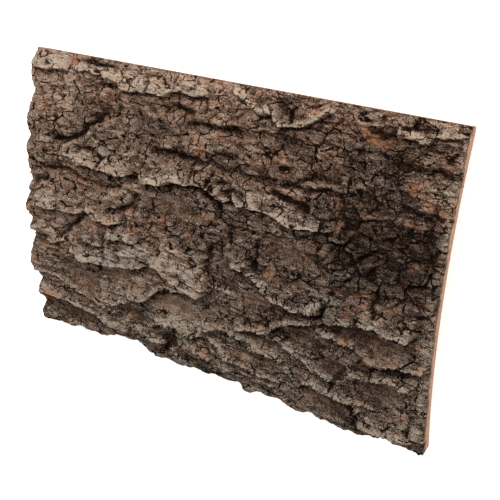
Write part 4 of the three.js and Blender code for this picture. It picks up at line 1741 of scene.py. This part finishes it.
@dataclass(frozen=True)
class SoftLight:
    """A square soft light: where it hangs and the side of its square in metres, and its power in watts."""

    name: str
    place: Axes
    size: float
    power: float

    def hang(self, aim: Vector) -> None:
        """Hang the light so that it faces a point.

        Args:
            aim: The point, in metres.
        """
        light = bpy.data.lights.new(self.name, "AREA")
        light.energy = self.power
        light.size = self.size
        lamp = bpy.data.objects.new(self.name, light)
        lamp.location = self.place
        lamp.rotation_mode = "QUATERNION"
        lamp.rotation_quaternion = (aim - Vector(self.place)).to_track_quat("-Z", "Y")
        bpy.context.scene.collection.objects.link(lamp)


@dataclass(frozen=True)
class Studio:
    """The picture's stage: a camera that looks down on the slab, soft light from beyond it, a pale floor."""

    aim: Axes = (0.0436, 0.0064, 0.0250)
    distance: float = 0.7997
    azimuth: float = 38.11
    elevation: float = 51.55
    roll: float = -118.67
    lens: float = 63.14
    floor_half: float = 4.0
    lights: tuple[SoftLight, ...] = (
        SoftLight("key", (-0.2, 1.25, 1.12), 0.65, 26.0),
        SoftLight("fill", (1.3, -0.3, 1.1), 1.4, 8.0),
    )
    surround: str = "#ffffff"
    surround_strength: float = 0.42

    def set_camera(self) -> None:
        """Place the camera by its direction and distance from the slab, turned about its line of sight."""
        elevation, azimuth = radians(self.elevation), radians(self.azimuth)
        level = cos(elevation)
        away = Vector((level * cos(azimuth), level * sin(azimuth), sin(elevation)))
        camera = bpy.data.objects.new("camera", bpy.data.cameras.new("camera"))
        camera.data.lens = self.lens
        camera.location = Vector(self.aim) + away * self.distance
        camera.rotation_mode = "QUATERNION"
        upright = (-away).to_track_quat("-Z", "Y")
        camera.rotation_quaternion = upright @ Quaternion((0, 0, 1), radians(self.roll))
        bpy.context.scene.collection.objects.link(camera)
        bpy.context.scene.camera = camera

    def set_stage(self) -> None:
        """Put in the floor, the lights and the even white surroundings."""
        half = self.floor_half
        corners = [(-half, -half, 0), (half, -half, 0), (half, half, 0), (-half, half, 0)]
        mesh = bpy.data.meshes.new("floor")
        mesh.from_pydata(corners, [], [(0, 1, 2, 3)])
        mesh.materials.append(FloorFinish().make())
        floor = bpy.data.objects.new("floor", mesh)
        bpy.context.scene.collection.objects.link(floor)
        for light in self.lights:
            light.hang(Vector(self.aim))
        world = bpy.data.worlds.new("white_surround")
        world.use_nodes = True
        background = world.node_tree.nodes["Background"]
        background.inputs["Color"].default_value = linear_colour(self.surround)
        background.inputs["Strength"].default_value = self.surround_strength
        bpy.context.scene.world = world
        bpy.context.scene.view_settings.view_transform = "Standard"


def main() -> None:
    """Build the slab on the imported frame, dress it, and set up its portrait."""
    logging.basicConfig(level=logging.INFO, format="%(name)s: %(message)s")
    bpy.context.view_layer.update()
    studio = Studio()
    studio.set_camera()
    slab = CorkSlab()
    piece = slab.build()
    slab.dress(piece)
    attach(piece, "root")
    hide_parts("cork_slab")
    log.info("%s: %d points, %d faces", piece.name, len(piece.data.vertices), len(piece.data.polygons))
    studio.set_stage()


if __name__ == "__main__":
    main()
